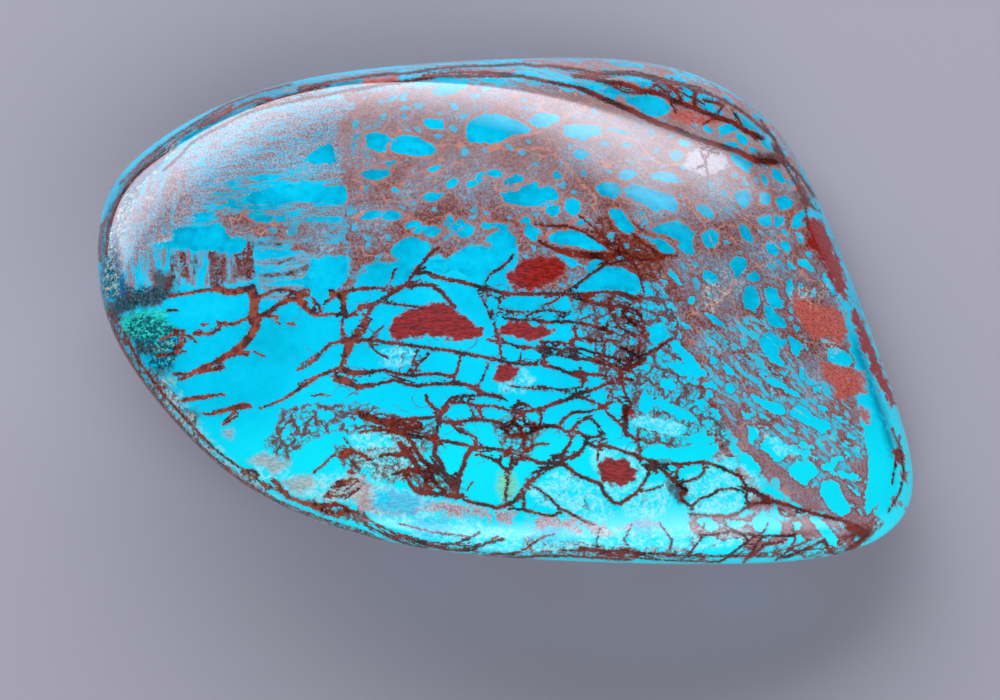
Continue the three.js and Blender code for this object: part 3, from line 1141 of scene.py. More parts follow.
def set_attribute(mesh, name, values):
    """Keeps one number a point on the mesh, for its material to read."""
    attribute = mesh.attributes.new(name, "FLOAT", "POINT")
    attribute.data.foreach_set("value", np.asarray(values, dtype=np.float32))


def mark_stone(mesh, points, outward):
    """Lays the chart's markings on the stone as distances in tenths of a millimetre."""
    chart, sight = chart_places(points)
    facing = -(sight * outward).sum(axis=1)
    set_attribute(mesh, "charted", np.clip((facing - CHART_BEGINS) / CHART_FADE, 0.0, 1.0))
    set_attribute(mesh, "chart_across", chart[:, 0])
    set_attribute(mesh, "chart_down", chart[:, 1])
    shown = np.nonzero(facing > CHART_READ)[0]
    places = chart[shown]

    def spread(values, rest=MARK_REACH):
        """The values at the shown points, and the same number at all the rest."""
        whole = np.full(len(points), rest)
        whole[shown] = values
        return whole

    side, half, gap = line_field(places, lines(VEINS))
    set_attribute(mesh, "vein_side", spread(side))
    set_attribute(mesh, "vein_half", spread(half, 0.0))
    set_attribute(mesh, "vein_gap", spread(gap))
    for name, text in LINE_MARKS.items():
        set_attribute(mesh, name, spread(line_field(places, lines(text))[2]))
    for name, text in PATCH_MARKS.items():
        set_attribute(mesh, name, spread(patch_field(places, outlines(text))))


def linear(red, green, blue):
    """A screen colour (sRGB) of 0 to 255 a channel as the linear colour a shader takes."""
    def channel(value):
        value /= 255
        return value / 12.92 if value <= 0.04045 else ((value + 0.055) / 1.055) ** 2.4
    return (channel(red), channel(green), channel(blue), 1.0)


# What the studio light makes of a surface: how bright it shows for its albedo.
STUDIO_GAIN = 1.22


def seen(red, green, blue):
    """The albedo that the studio light shows as a colour of 0 to 255 a channel."""
    return tuple(channel / STUDIO_GAIN for channel in linear(red, green, blue)[:3]) + (1.0,)


class Nodes:
    """Adds nodes to a tree and links their inputs."""

    def __init__(self, tree):
        self.tree = tree

    def add(self, kind, inputs=None, **settings):
        """A new node, with values or outputs of other nodes as its inputs."""
        node = self.tree.nodes.new(kind)
        for name, value in settings.items():
            setattr(node, name, value)
        for name, value in (inputs or {}).items():
            self.put(node.inputs[name], value)
        return node

    def put(self, socket, value):
        """Links an output to an input, or sets the input's value."""
        if isinstance(value, bpy.types.NodeSocket):
            self.tree.links.new(value, socket)
        elif value is not None:
            socket.default_value = value

    def math(self, operation, a, b=None, clamp=False):
        """What an operation makes of one or two numbers."""
        node = self.add("ShaderNodeMath", {0: a}, operation=operation, use_clamp=clamp)
        if b is not None:
            self.put(node.inputs[1], b)
        return node.outputs[0]

    def ramp(self, value, low, high, to_low=0.0, to_high=1.0):
        """A smooth step from to_low, where the value is low, to to_high, where it is high."""
        inputs = {
            "Value": value,
            "From Min": low,
            "From Max": high,
            "To Min": to_low,
            "To Max": to_high,
        }
        node = self.add("ShaderNodeMapRange", inputs, interpolation_type="SMOOTHSTEP")
        return node.outputs["Result"]

    def mix(self, factor, a, b):
        """A colour, a at factor 0 and b at factor 1."""
        node = self.add("ShaderNodeMix", data_type="RGBA")
        self.put(node.inputs[0], factor)
        self.put(node.inputs[6], a)
        self.put(node.inputs[7], b)
        return node.outputs[2]

    def blend(self, factor, a, b):
        """A number, a at factor 0 and b at factor 1."""
        node = self.add("ShaderNodeMix", data_type="FLOAT")
        self.put(node.inputs[0], factor)
        self.put(node.inputs[2], a)
        self.put(node.inputs[3], b)
        return node.outputs[0]

    def attribute(self, name):
        """A number that set_attribute keeps on the mesh."""
        return self.add("ShaderNodeAttribute", attribute_name=name).outputs["Fac"]

    def noise(self, vector, scale, detail=3.0, roughness=0.5, distortion=0.0):
        """A smooth random number from 0 to 1 for each place."""
        inputs = {
            "Vector": vector,
            "Scale": scale,
            "Detail": detail,
            "Roughness": roughness,
            "Distortion": distortion,
        }
        return self.add("ShaderNodeTexNoise", inputs).outputs["Fac"]

    def colour_noise(self, vector, scale):
        """Three smooth random numbers for each place, as a colour."""
        return self.add("ShaderNodeTexNoise", {"Vector": vector, "Scale": scale}).outputs["Color"]

    def vector(self, operation, a, b=None, scale=None):
        """What an operation makes of one or two vectors, or of one and a number."""
        node = self.add("ShaderNodeVectorMath", {0: a}, operation=operation)
        if b is not None:
            self.put(node.inputs[1], b)
        if scale is not None:
            self.put(node.inputs["Scale"], scale)
        return node.outputs["Vector"]

    def steps(self, value, stops):
        """A colour ramp with (place, colour) stops."""
        node = self.add("ShaderNodeValToRGB", {"Fac": value})
        elements = node.color_ramp.elements
        elements[0].position, elements[0].color = stops[0]
        elements[1].position, elements[1].color = stops[-1]
        for place, colour in stops[1:-1]:
            elements.new(place).color = colour
        return node.outputs["Color"]

    def dielectric(self, colour, roughness, ior):
        """The material's surface, as of stone, glass or paint."""
        inputs = {"Base Color": colour, "Roughness": roughness, "IOR": ior}
        shader = self.add("ShaderNodeBsdfPrincipled", inputs)
        self.add("ShaderNodeOutputMaterial", {"Surface": shader.outputs["BSDF"]})


def new_material(name, helper=Nodes):
    """A material with no nodes yet, and the helper that adds them."""
    material = bpy.data.materials.new(name)
    material.use_nodes = True
    material.node_tree.nodes.clear()
    return material, helper(material.node_tree)


def opaque(colour):
    """A setting's colour with the alpha that a shader takes."""
    return tuple(colour) + (1.0,)


def stone_positions(nodes):
    """Object coordinates in mm."""
    coordinates = nodes.add("ShaderNodeTexCoord").outputs["Object"]
    return nodes.vector("SCALE", coordinates, scale=1 / MM)


# The range of the grain noise over which one colour gives way to the other.
GRAIN_RANGE = (0.40, 0.60)

# How ragged and how soft the rounded cells' edges are, as shares of a cell, and how
# softly their random number leaves some out.
CELL_RAGGED = 0.16
CELL_SOFT = 0.07
SPARSE_SOFT = 0.04

# The share of a hairline's width that is at full strength.
HAIRLINE_CORE = 0.3

# Degrees that the splinters are turned round Z, and the scale of their noise along and
# across them.
SPLINTER_TURN = 32.0
SPLINTER_SCALE = (0.55, 2.6, 2.6)


class StoneNodes(Nodes):
    """The nodes of the stone's material, with the fields that its markings share."""

    def __init__(self, tree):
        super().__init__(tree)
        self.place = stone_positions(self)
        self.charted = self.attribute("charted")
        self.across = self.attribute("chart_across")
        self.down = self.attribute("chart_down")
        self.wobble = self.noise(self.place, scale=2.6, detail=3.0, roughness=0.6)
        self.fine = self.noise(self.place, scale=6.0, detail=2.0, roughness=0.6)
        self.grain = self.noise(self.place, scale=11.0, detail=2.0, roughness=0.7)

    def times(self, a, b):
        return self.math("MULTIPLY", a, b)

    def moved(self, gap, field, amount):
        """A distance that a noise field makes ragged by up to half the amount either way."""
        return self.math("ADD", gap, self.times(self.math("SUBTRACT", field, 0.5), amount))

    def patch(self, name, ragged, soft, free=0.0):
        """1 inside the charted outlines and 0 outside, and free on the hidden sides."""
        inside = self.ramp(self.moved(self.attribute(name), self.wobble, ragged), soft, -soft)
        return self.blend(self.charted, free, inside)

    def paint(self, colour, mask, strength, tint):
        """The colour with a tint laid over it where the mask is 1."""
        return self.mix(self.times(mask, strength), colour, tint)

    def dust(self, colour, mask, name, ragged, soft, strength, tint):
        """The colour with a tint laid over it where the mask and a charted patch are both 1."""
        inside = self.patch(name, ragged=ragged, soft=soft)
        return self.paint(colour, self.times(inside, mask), strength, tint)

    def grained(self, low_tint, high_tint):
        """Fine grains of two colours."""
        return self.mix(self.ramp(self.grain, *GRAIN_RANGE), low_tint, high_tint)

    def shifted(self, offset):
        """The place moved aside, so that the same noise comes out differently there."""
        return self.vector("ADD", self.place, offset)

    def stretched(self, across, along):
        """The place with its X and its other axes scaled, for streaks."""
        return self.vector("MULTIPLY", self.place, (across, along, along))

    def splintered(self):
        """The place for thin splinters that run towards the lower right."""
        inputs = {"Vector": self.place, "Axis": (0.0, 0.0, 1.0), "Angle": math.radians(SPLINTER_TURN)}
        turned = self.add("ShaderNodeVectorRotate", inputs, rotation_type="AXIS_ANGLE")
        return self.vector("MULTIPLY", turned.outputs["Vector"], SPLINTER_SCALE)

    def warped(self, scale, amount, place=None):
        """The place shifted about by noise."""
        place = place or self.place
        shift = self.vector("SUBTRACT", self.colour_noise(place, scale=scale), (0.5, 0.5, 0.5))
        return self.vector("ADD", place, self.vector("SCALE", shift, scale=amount))

    def cell_edges(self, place, scale):
        """Distance to the nearest edge between cells."""
        inputs = {"Vector": place, "Scale": scale}
        return self.add("ShaderNodeTexVoronoi", inputs, feature="DISTANCE_TO_EDGE").outputs["Distance"]

    def cells(self, place, scale, radius, sparse):
        """Rounded cells: 1 inside those whose random number is above sparse."""
        node = self.add("ShaderNodeTexVoronoi", {"Vector": place, "Scale": scale}, feature="F1")
        number = self.add("ShaderNodeSeparateColor", {"Color": node.outputs["Color"]}).outputs[0]
        ragged = self.moved(node.outputs["Distance"], self.fine, CELL_RAGGED)
        inside = self.ramp(ragged, radius, radius - CELL_SOFT)
        return self.times(inside, self.ramp(number, sparse, sparse + SPARSE_SOFT))

    def hairlines(self, place, scale, width):
        """Long winding hairlines, 1 on the line: where a smooth field crosses its middle."""
        winding = self.warped(scale=1.6, amount=0.35, place=place)
        field = self.noise(winding, scale=scale, detail=1.5, roughness=0.6)
        off = self.math("ABSOLUTE", self.math("SUBTRACT", field, 0.5))
        return self.ramp(off, width, width * HAIRLINE_CORE)


def shaded(colour, share):
    """A share of a colour's brightness."""
    return tuple(channel * share for channel in colour[:3]) + (1.0,)


# The turquoise: its clouds' brightest tone, and those it takes on over the chart.
BRIGHT_TURQUOISE = seen(24, 224, 246)
NEAR_TURQUOISE = seen(6, 222, 248)
LOWEST_TURQUOISE = seen(16, 246, 255)
# Painted shade, for where the surface turns away from the light.
SHADED_TURQUOISE = seen(0, 128, 156)
ISLAND_CLOUD = seen(0, 140, 176)

# The matrix's grains after the two of its own brown, from low noise to high, the
# tones it takes on over the chart, and its hairlines.
BROWN_GREY_GRAIN = seen(142, 98, 94)
PINK_GREY_GRAIN = seen(136, 118, 124)
BLUE_GREY_GRAIN = seen(58, 150, 176)
PALE_GREY_GRAIN = seen(178, 176, 180)
FAR_MATRIX = seen(172, 150, 150)
NEAR_MATRIX = seen(170, 132, 136)
SHORT_HAIRLINE = seen(196, 138, 120)
LONG_HAIRLINE = seen(212, 146, 120)

# The marks that have one tone each.
CRACK_BROWN = seen(96, 38, 30)
SPLINTER_BLUE = seen(30, 206, 232)
PALE_RIM = seen(196, 124, 104)
BROWN_RIM = seen(120, 58, 52)
# Pale frost with a painted reflection of the near light.
FROST_AND_REFLECTION = seen(176, 255, 255)
# Pale flecks, partly painted highlight.
FLECK_AND_GLINT = seen(206, 214, 204)
BLUE_STRIPE = seen(0, 84, 132)
SALMON_LINE = seen(206, 142, 118)
VEIN_HALO = seen(60, 50, 50)
VEIN_TAN = seen(178, 88, 52)

# The marks that have fine grains of two tones each.
STREAK_GRAINS = (seen(120, 78, 76), seen(178, 130, 120))
# The painted haze of reflected light over the upper left.
REFLECTION_HAZE_GRAINS = (seen(128, 108, 112), seen(196, 172, 176))
NET_GRAINS = (seen(72, 26, 18), seen(136, 62, 42))
# The painted highlight along the near belt.
BELT_SHEEN_GRAINS = (seen(168, 118, 120), seen(206, 182, 188))
TONGUE_GRAINS = (seen(70, 34, 32), seen(140, 84, 78))
TEAL_GRAINS = (seen(14, 34, 44), seen(30, 96, 110))

# Where on the chart a look starts and where it has wholly come in, down or across. The
# nearer turquoise keeps its least share at the left.
NEARER_DOWN = (120.0, 200.0)
NEARER_ACROSS = (60.0, 230.0)
NEARER_LEAST = 0.35
LOWEST_DOWN = (195.0, 235.0)
FAR_MATRIX_DOWN = (125.0, 60.0)
NEAR_MATRIX_DOWN = (170.0, 235.0)
BROWN_RIM_DOWN = (105.0, 150.0)
CLOUD_DOWN = (190.0, 150.0)
TAN_DOWN = (135.0, 145.0)
TAN_ACROSS = (205.0, 160.0)

# How far in mm two kinds of lines are moved aside, so that they don't follow others.
HAIRLINE_SHIFT = (31.0, 17.0, 9.0)
CRACK_SHIFT = (5.0, 3.0, 1.0)


def turquoise_colour(nodes, turquoise):
    """Clouded turquoise, brighter on the near side, and darker in two patches of painted shade."""
    broad = nodes.noise(nodes.place, scale=0.22, detail=3.0)
    fine = nodes.noise(nodes.place, scale=2.2, detail=4.0, roughness=0.6)
    value = nodes.math("ADD", nodes.times(broad, 0.7), nodes.times(fine, 0.3))
    clouded = nodes.steps(
        value,
        [
            (0.34, shaded(turquoise, 0.68)),
            (0.46, shaded(turquoise, 1.0)),
            (0.56, shaded(turquoise, 1.18)),
            (0.68, BRIGHT_TURQUOISE),
        ],
    )
    lower = nodes.ramp(nodes.down, *NEARER_DOWN)
    nearer = nodes.times(lower, nodes.ramp(nodes.across, *NEARER_ACROSS, NEARER_LEAST))
    clouded = nodes.paint(clouded, nodes.times(nearer, nodes.charted), 0.8, NEAR_TURQUOISE)
    lowest = nodes.times(nodes.ramp(nodes.down, *LOWEST_DOWN), nodes.charted)
    clouded = nodes.paint(clouded, lowest, 0.75, LOWEST_TURQUOISE)
    clouds = nodes.ramp(nodes.wobble, 0.3, 0.6, 0.5, 1.0)
    # Painted shade: darker turquoise in two patches where the surface turns away from the light.
    return nodes.dust(clouded, clouds, "painted_shade", ragged=6.0, soft=2.0, strength=0.85, tint=SHADED_TURQUOISE)


def matrix_colour(nodes, brown):
    """Fine speckle of brown, grey-pink and grey-blue grains with winding salmon hairlines."""
    broad = nodes.noise(nodes.place, scale=0.5, detail=3.0)
    grain = nodes.noise(nodes.place, scale=7.0, detail=4.0, roughness=0.8)
    value = nodes.math("ADD", nodes.times(grain, 0.65), nodes.times(broad, 0.35))
    speckle = nodes.steps(
        value,
        [
            (0.36, shaded(brown, 0.45)),
            (0.43, brown),
            (0.48, BROWN_GREY_GRAIN),
            (0.52, PINK_GREY_GRAIN),
            (0.56, BLUE_GREY_GRAIN),
            (0.62, PALE_GREY_GRAIN),
        ],
    )
    farther = nodes.times(nodes.ramp(nodes.down, *FAR_MATRIX_DOWN), nodes.charted)
    speckle = nodes.paint(speckle, farther, 0.45, FAR_MATRIX)
    short = nodes.hairlines(nodes.shifted(HAIRLINE_SHIFT), scale=1.0, width=0.012)
    long = nodes.hairlines(nodes.place, scale=0.42, width=0.007)
    lined = nodes.paint(speckle, short, 0.55, SHORT_HAIRLINE)
    lined = nodes.paint(lined, long, 0.65, LONG_HAIRLINE)
    nearer = nodes.times(nodes.ramp(nodes.down, *NEAR_MATRIX_DOWN), nodes.charted)
    return nodes.paint(lined, nearer, 0.4, NEAR_MATRIX)


def streak_marks(nodes, colour, matrix):
    """Thin streaks that lie along and across the left half, and a painted haze of reflected light over
    them.
    """
    pale_brown = nodes.grained(*STREAK_GRAINS)
    lengthways = nodes.stretched(across=0.45, along=3.6)
    along = nodes.ramp(nodes.noise(lengthways, scale=1.0, detail=5.0, roughness=0.75), 0.45, 0.58)
    crossways = nodes.stretched(across=3.2, along=0.5)
    across = nodes.ramp(nodes.noise(crossways, scale=1.0, detail=5.0, roughness=0.75), 0.44, 0.56)
    # Painted reflection: a grey-pink haze over the upper left.
    haze_mask = nodes.ramp(nodes.noise(nodes.place, scale=6.0, detail=4.0, roughness=0.85), 0.38, 0.57)
    colour = nodes.dust(colour, along, "streaks", ragged=5.0, soft=1.5, strength=0.72, tint=pale_brown)
    comb_brown = nodes.mix(0.5, matrix, pale_brown)
    colour = nodes.dust(colour, across, "combs", ragged=5.0, soft=1.5, strength=0.85, tint=comb_brown)
    haze_tint = nodes.grained(*REFLECTION_HAZE_GRAINS)
    return nodes.dust(colour, haze_mask, "reflection_haze", ragged=8.0, soft=3.0, strength=0.8, tint=haze_tint)


def matrix_mask(nodes):
    """1 where the speckled matrix is, with a very ragged edge."""
    rough = nodes.noise(nodes.place, scale=1.5, detail=5.0, roughness=0.75)
    gap = nodes.moved(nodes.attribute("matrix"), rough, 16.0)
    free = nodes.ramp(nodes.noise(nodes.place, scale=0.16, detail=2.0), 0.50, 0.54)
    return nodes.blend(nodes.charted, free, nodes.ramp(gap, 1.4, -1.4))


def net_marks(nodes, colour):
    """Ragged nets of fine cracks, and single cracks that come and go."""
    rough = nodes.noise(nodes.place, scale=5.0, detail=4.0, roughness=0.75)
    rough = nodes.times(nodes.math("SUBTRACT", rough, 0.5), 0.5)
    coarse = nodes.math("ADD", nodes.cell_edges(nodes.warped(scale=1.3, amount=1.1), scale=1.25), rough)
    close = nodes.math("ADD", nodes.cell_edges(nodes.warped(scale=2.2, amount=0.6), scale=3.0), rough)
    close = nodes.times(nodes.ramp(close, 0.17, 0.04), 0.75)
    net = nodes.math("MAXIMUM", nodes.ramp(coarse, 0.17, 0.05), close)
    net_brown = nodes.grained(*NET_GRAINS)
    colour = nodes.dust(colour, net, "meshed", ragged=5.0, soft=1.2, strength=0.92, tint=net_brown)
    gaps = nodes.ramp(nodes.noise(nodes.place, scale=0.7, detail=3.0), 0.44, 0.60)
    cracks = nodes.hairlines(nodes.shifted(CRACK_SHIFT), scale=0.6, width=0.012)
    cracks = nodes.times(cracks, gaps)
    crackled = nodes.times(nodes.patch("crackled", ragged=6.0, soft=2.0, free=0.9), cracks)
    return nodes.paint(colour, crackled, 0.75, CRACK_BROWN)


def band_marks(nodes, colour):
    """The near belt's grey-pink band of painted highlight, the splinters at the right and the left's brown
    tongues.
    """
    # Painted highlight: a grey-pink band of reflected light along the near belt.
    sheen_tint = nodes.grained(*BELT_SHEEN_GRAINS)
    gaps = nodes.ramp(nodes.noise(nodes.place, scale=1.5, detail=3.0, roughness=0.7), 0.40, 0.50)
    colour = nodes.dust(colour, gaps, "belt_sheen", ragged=9.0, soft=1.8, strength=0.9, tint=sheen_tint)
    splinters = nodes.noise(nodes.splintered(), scale=1.0, detail=3.0, roughness=0.65)
    thin = nodes.ramp(splinters, 0.50, 0.545)
    colour = nodes.dust(colour, thin, "splinters", ragged=6.0, soft=2.0, strength=0.9, tint=SPLINTER_BLUE)
    tongues = nodes.patch("brown", ragged=2.4, soft=0.7)
    tongues = nodes.times(tongues, nodes.ramp(nodes.fine, 0.30, 0.50, 0.35, 1.0))
    return nodes.mix(tongues, colour, nodes.grained(*TONGUE_GRAINS))


def island_marks(nodes, colour, turquoise, matrix):
    """Turquoise islands in the matrix, with brown rims, and small ones away from them."""
    gap = nodes.attribute("island")
    for field, amount in ((nodes.wobble, 3.2), (nodes.fine, 2.6), (nodes.grain, 1.4)):
        gap = nodes.moved(gap, field, amount)
    rim = nodes.ramp(nodes.math("ABSOLUTE", nodes.math("SUBTRACT", gap, 0.55)), 0.6, 0.2)
    rim = nodes.times(nodes.times(rim, nodes.charted), matrix)
    rim_brown = nodes.mix(nodes.ramp(nodes.down, *BROWN_RIM_DOWN), PALE_RIM, BROWN_RIM)
    colour = nodes.paint(colour, rim, 0.6, rim_brown)
    small = nodes.cells(nodes.warped(scale=1.6, amount=0.8), scale=1.7, radius=0.40, sparse=0.55)
    small = nodes.times(small, nodes.ramp(gap, 1.6, 2.6))
    drawn = nodes.math("MAXIMUM", nodes.ramp(gap, 0.4, -0.4), nodes.times(small, 0.75))
    free = nodes.cells(nodes.warped(scale=0.8, amount=0.9), scale=0.62, radius=0.50, sparse=0.42)
    free = nodes.times(free, matrix)
    islands = nodes.blend(nodes.charted, free, drawn)
    inside = nodes.math("MAXIMUM", matrix, nodes.ramp(gap, 0.3, -0.3))
    cloud = nodes.ramp(nodes.noise(nodes.place, scale=0.9, detail=4.0, roughness=0.7), 0.42, 0.62)
    cloud = nodes.times(cloud, nodes.ramp(gap, -4.0, -0.5, 0.3, 1.0))
    cloud = nodes.times(cloud, nodes.ramp(nodes.down, *CLOUD_DOWN))
    tone = nodes.paint(turquoise, cloud, 0.6, ISLAND_CLOUD)
    return nodes.mix(nodes.times(islands, inside), colour, tone)


# Patches of one mineral each, and one painted glint: its two colours, how ragged and how
# soft the edge is in tenths of a millimetre, and its strength.
FLAT_PATCHES = {
    "pale": ((150, 122, 116), (196, 182, 176), 8.0, 2.0, 0.7),
    "bluespot": ((0, 178, 228), (30, 224, 246), 10.0, 2.4, 0.8),
    "yellow": ((120, 190, 90), (180, 220, 110), 5.0, 2.0, 0.55),
    "green": ((0, 150, 136), (62, 232, 204), 7.0, 1.8, 0.85),
    "palegreen": ((60, 150, 120), (150, 220, 180), 6.0, 1.4, 0.75),
    "salmon": ((150, 62, 54), (212, 110, 94), 7.0, 1.2, 0.9),
    "dark": ((46, 20, 16), (98, 50, 34), 12.0, 2.2, 0.85),
    # A painted glint, not a mineral: the white patch of reflected light at the upper right.
    "painted_glint": ((176, 170, 178), (206, 202, 208), 9.0, 1.0, 0.85),
}


def patch_marks(nodes, colour, red):
    """Frost with painted reflection, mineral patches with a painted glint, red, teal, and flecks with
    painted highlights.
    """
    # Pale frost, partly a painted reflection of the near light on the near half.
    frost_and_reflection = nodes.noise(nodes.place, scale=3.4, detail=6.0, roughness=0.85, distortion=0.8)
    frost_and_reflection = nodes.ramp(frost_and_reflection, 0.46, 0.57)
    colour = nodes.dust(colour, frost_and_reflection, "frosted_and_reflecting", ragged=5.0, soft=1.5, strength=0.7, tint=FROST_AND_REFLECTION)
    fibres = nodes.noise(nodes.stretched(across=1.0, along=4.0), scale=3.0, detail=3.0, roughness=0.7)
    fibres = nodes.ramp(fibres, 0.36, 0.62)
    for name, (low, high, ragged, soft, strength) in FLAT_PATCHES.items():
        tint = nodes.mix(fibres, seen(*low), seen(*high))
        colour = nodes.paint(colour, nodes.patch(name, ragged=ragged, soft=soft), strength, tint)
    red_fibres = nodes.mix(fibres, shaded(red, 0.32), red)
    colour = nodes.paint(colour, nodes.patch("red", ragged=9.0, soft=1.1), 0.97, red_fibres)
    blotches = nodes.ramp(nodes.fine, 0.40, 0.54)
    teal = nodes.grained(*TEAL_GRAINS)
    colour = nodes.dust(colour, blotches, "teal", ragged=5.0, soft=1.6, strength=0.9, tint=teal)
    # Pale flecks, partly painted highlight: a glint at the far edge and bright lines along the left rim.
    speckle = nodes.ramp(nodes.noise(nodes.place, scale=4.6, detail=5.0, roughness=0.85), 0.50, 0.57)
    return nodes.dust(colour, speckle, "flecks_and_glints", ragged=6.0, soft=2.0, strength=0.8, tint=FLECK_AND_GLINT)


def line_marks(nodes, colour):
    """The broken blue stripe at the left end and the salmon lines of the upper side."""
    stripe = nodes.ramp(nodes.attribute("blue"), 0.6, -0.6)
    stripe = nodes.times(stripe, nodes.ramp(nodes.wobble, 0.38, 0.56))
    colour = nodes.paint(colour, nodes.times(stripe, nodes.charted), 0.8, BLUE_STRIPE)
    salmon = nodes.ramp(nodes.moved(nodes.attribute("salmon_line"), nodes.fine, 1.4), 0.35, -0.25)
    return nodes.paint(colour, nodes.times(salmon, nodes.charted), 0.75, SALMON_LINE)


def vein_marks(nodes, colour, brown):
    """Red-brown veins with ragged edges and a faint dark halo."""
    def ragged(gap):
        return nodes.moved(nodes.moved(gap, nodes.fine, 2.4), nodes.grain, 1.2)

    side = nodes.math("ABSOLUTE", nodes.attribute("vein_side"))
    over = ragged(nodes.math("SUBTRACT", side, nodes.math("ADD", nodes.attribute("vein_half"), 0.08)))
    gap = nodes.attribute("vein_gap")
    drawn = nodes.times(nodes.ramp(over, 0.45, -0.15), nodes.ramp(gap, 1.3, 0.8))
    halo = nodes.times(nodes.ramp(ragged(gap), 1.3, 0.1), nodes.charted)
    colour = nodes.paint(colour, halo, 0.35, VEIN_HALO)

    # The hidden sides' veins run between large cells, and come and go.
    free = nodes.moved(nodes.cell_edges(nodes.warped(scale=0.5, amount=1.6), scale=0.34), nodes.fine, 0.10)
    here = nodes.ramp(nodes.noise(nodes.place, scale=0.3, detail=2.0), 0.40, 0.50)
    free = nodes.times(nodes.ramp(free, 0.045, 0.01), here)

    tone = nodes.times(nodes.noise(nodes.place, scale=1.1, detail=2.0), 0.6)
    tone = nodes.math("ADD", tone, nodes.times(nodes.grain, 0.4))
    vein_brown = nodes.steps(
        tone,
        [(0.40, shaded(brown, 0.36)), (0.48, shaded(brown, 1.15)), (0.58, shaded(brown, 2.6))],
    )
    leftward = nodes.times(nodes.ramp(nodes.across, *TAN_ACROSS), nodes.ramp(nodes.down, *TAN_DOWN))
    tan = nodes.times(nodes.times(leftward, nodes.charted), nodes.ramp(nodes.wobble, 0.44, 0.58))
    vein_brown = nodes.paint(vein_brown, tan, 0.55, VEIN_TAN)
    return nodes.paint(colour, nodes.blend(nodes.charted, free, drawn), 0.95, vein_brown)


STONE_ROUGHNESS = 0.07
STONE_IOR = 1.44


def stone_material(look):
    """Turquoise with the markings laid over it one after the other, the veins last."""
    material, nodes = new_material("polished turquoise-blue stone", StoneNodes)
    turquoise = turquoise_colour(nodes, opaque(look.turquoise))
    matrix_tone = matrix_colour(nodes, opaque(look.matrix))
    matrix = matrix_mask(nodes)
    colour = streak_marks(nodes, turquoise, matrix_tone)
    colour = nodes.mix(matrix, colour, matrix_tone)
    colour = net_marks(nodes, colour)
    colour = band_marks(nodes, colour)
    colour = island_marks(nodes, colour, turquoise, matrix)
    colour = patch_marks(nodes, colour, opaque(look.red))
    colour = line_marks(nodes, colour)
    colour = vein_marks(nodes, colour, opaque(look.veins))
    nodes.dielectric(colour, look.roughness, STONE_IOR)
    return material


FLOOR_ROUGHNESS = 0.6
FLOOR_IOR = 1.3


def floor_material(colour):
    """A plain matt floor."""
    material, nodes = new_material("plain pale floor")
    nodes.dielectric(opaque(colour), FLOOR_ROUGHNESS, FLOOR_IOR)
    return material


# The panels' colour, and how far in metres their light fades in from the two sides.
PANEL_COLOUR = linear(240, 240, 252)
PANEL_EDGE = 0.35


def panel_material(name, light, size, radiance):
    """Light that fades out towards the panel's edges."""
    material, nodes = new_material(name)
    place = nodes.add("ShaderNodeTexCoord").outputs["Object"]
    split = nodes.add("ShaderNodeSeparateXYZ", {"Vector": place})
    up = nodes.math("ADD", nodes.math("DIVIDE", split.outputs["Y"], size[1]), 0.5)
    lean = nodes.math("MULTIPLY", split.outputs["X"], light["lean"] / size[0])
    spare = nodes.math("SUBTRACT", 1.0, nodes.math("ADD", up, lean))
    fade = nodes.math("DIVIDE", spare, 1.0 - light["full"], clamp=True)
    side = nodes.math("ABSOLUTE", split.outputs["X"])
    sides = nodes.ramp(side, size[0] / 2, size[0] / 2 - PANEL_EDGE)
    edges = nodes.math("MULTIPLY", sides, nodes.ramp(up, 0.0, light["soft"]))
    strength = nodes.math("MULTIPLY", nodes.math("MULTIPLY", fade, edges), radiance)
    shader = nodes.add("ShaderNodeEmission", {"Color": PANEL_COLOUR, "Strength": strength})
    nodes.add("ShaderNodeOutputMaterial", {"Surface": shader.outputs["Emission"]})
    return material


# The panels stand upright round the stone. Azimuth is in degrees round from +Y to +X,
# roll is in degrees, and width, foot and top are in metres. Soft, full and lean are
# shares of the panel's height: the light fades in over soft and fades out above full,
# and from the left edge to the right one full comes down by lean.
PANEL_DISTANCE = 1.0
PANELS = {
    "far_panel": {
        "azimuth": -12.0,
        "roll": 5.0,
        "width": 2.8,
        "foot": 0.14,
        "top": 1.3,
        "soft": 0.02,
        "full": 0.34,
        "lean": 0.8,
    },
    "near_panel": {
        "azimuth": 165.0,
        "roll": 0.0,
        "width": 2.2,
        "foot": 0.05,
        "top": 1.7,
        "soft": 0.3,
        "full": 0.4,
        "lean": 0.0,
    },
}


def colour_setting(name, description, colour):
    """A colour that the panel shows, with what it is at first."""
    return bpy.props.FloatVectorProperty(
        name=name,
        description=description,
        default=colour[:3],
        min=0.0,
        max=1.0,
        subtype="COLOR",
    )


def strength_setting(name, description, strength):
    """A light's strength that the panel shows, with what it is at first."""
    return bpy.props.FloatProperty(name=name, description=description, default=strength, min=0.0)


class StoneSettings(bpy.types.PropertyGroup):
    """Sizes and colours of the stone."""

    rounding: bpy.props.FloatProperty(
        name="Polish rounding",
        description="How softly the worn faces run into each other",
        default=POLISH_ROUNDING * MM,
        min=0.2 * MM,
        max=3.0 * MM,
        precision=5,
        unit="LENGTH",
    )
    detail: bpy.props.IntProperty(
        name="Net detail",
        description="Divisions along each edge of the net's icosahedron",
        default=NET_DETAIL,
        min=10,
        max=99,
    )
    roughness: bpy.props.FloatProperty(
        name="Roughness",
        description="Roughness of the polish",
        default=STONE_ROUGHNESS,
        min=0.0,
        max=1.0,
        subtype="FACTOR",
    )
    turquoise: colour_setting("Turquoise", "Main colour of the turquoise-blue mineral", seen(2, 192, 224))
    matrix: colour_setting("Matrix", "Brown of the speckled matrix", seen(120, 62, 54))
    veins: colour_setting("Veins", "Brown of the veins", seen(84, 24, 14))
    red: colour_setting("Red patches", "Red of the fibrous patches", seen(172, 42, 34))


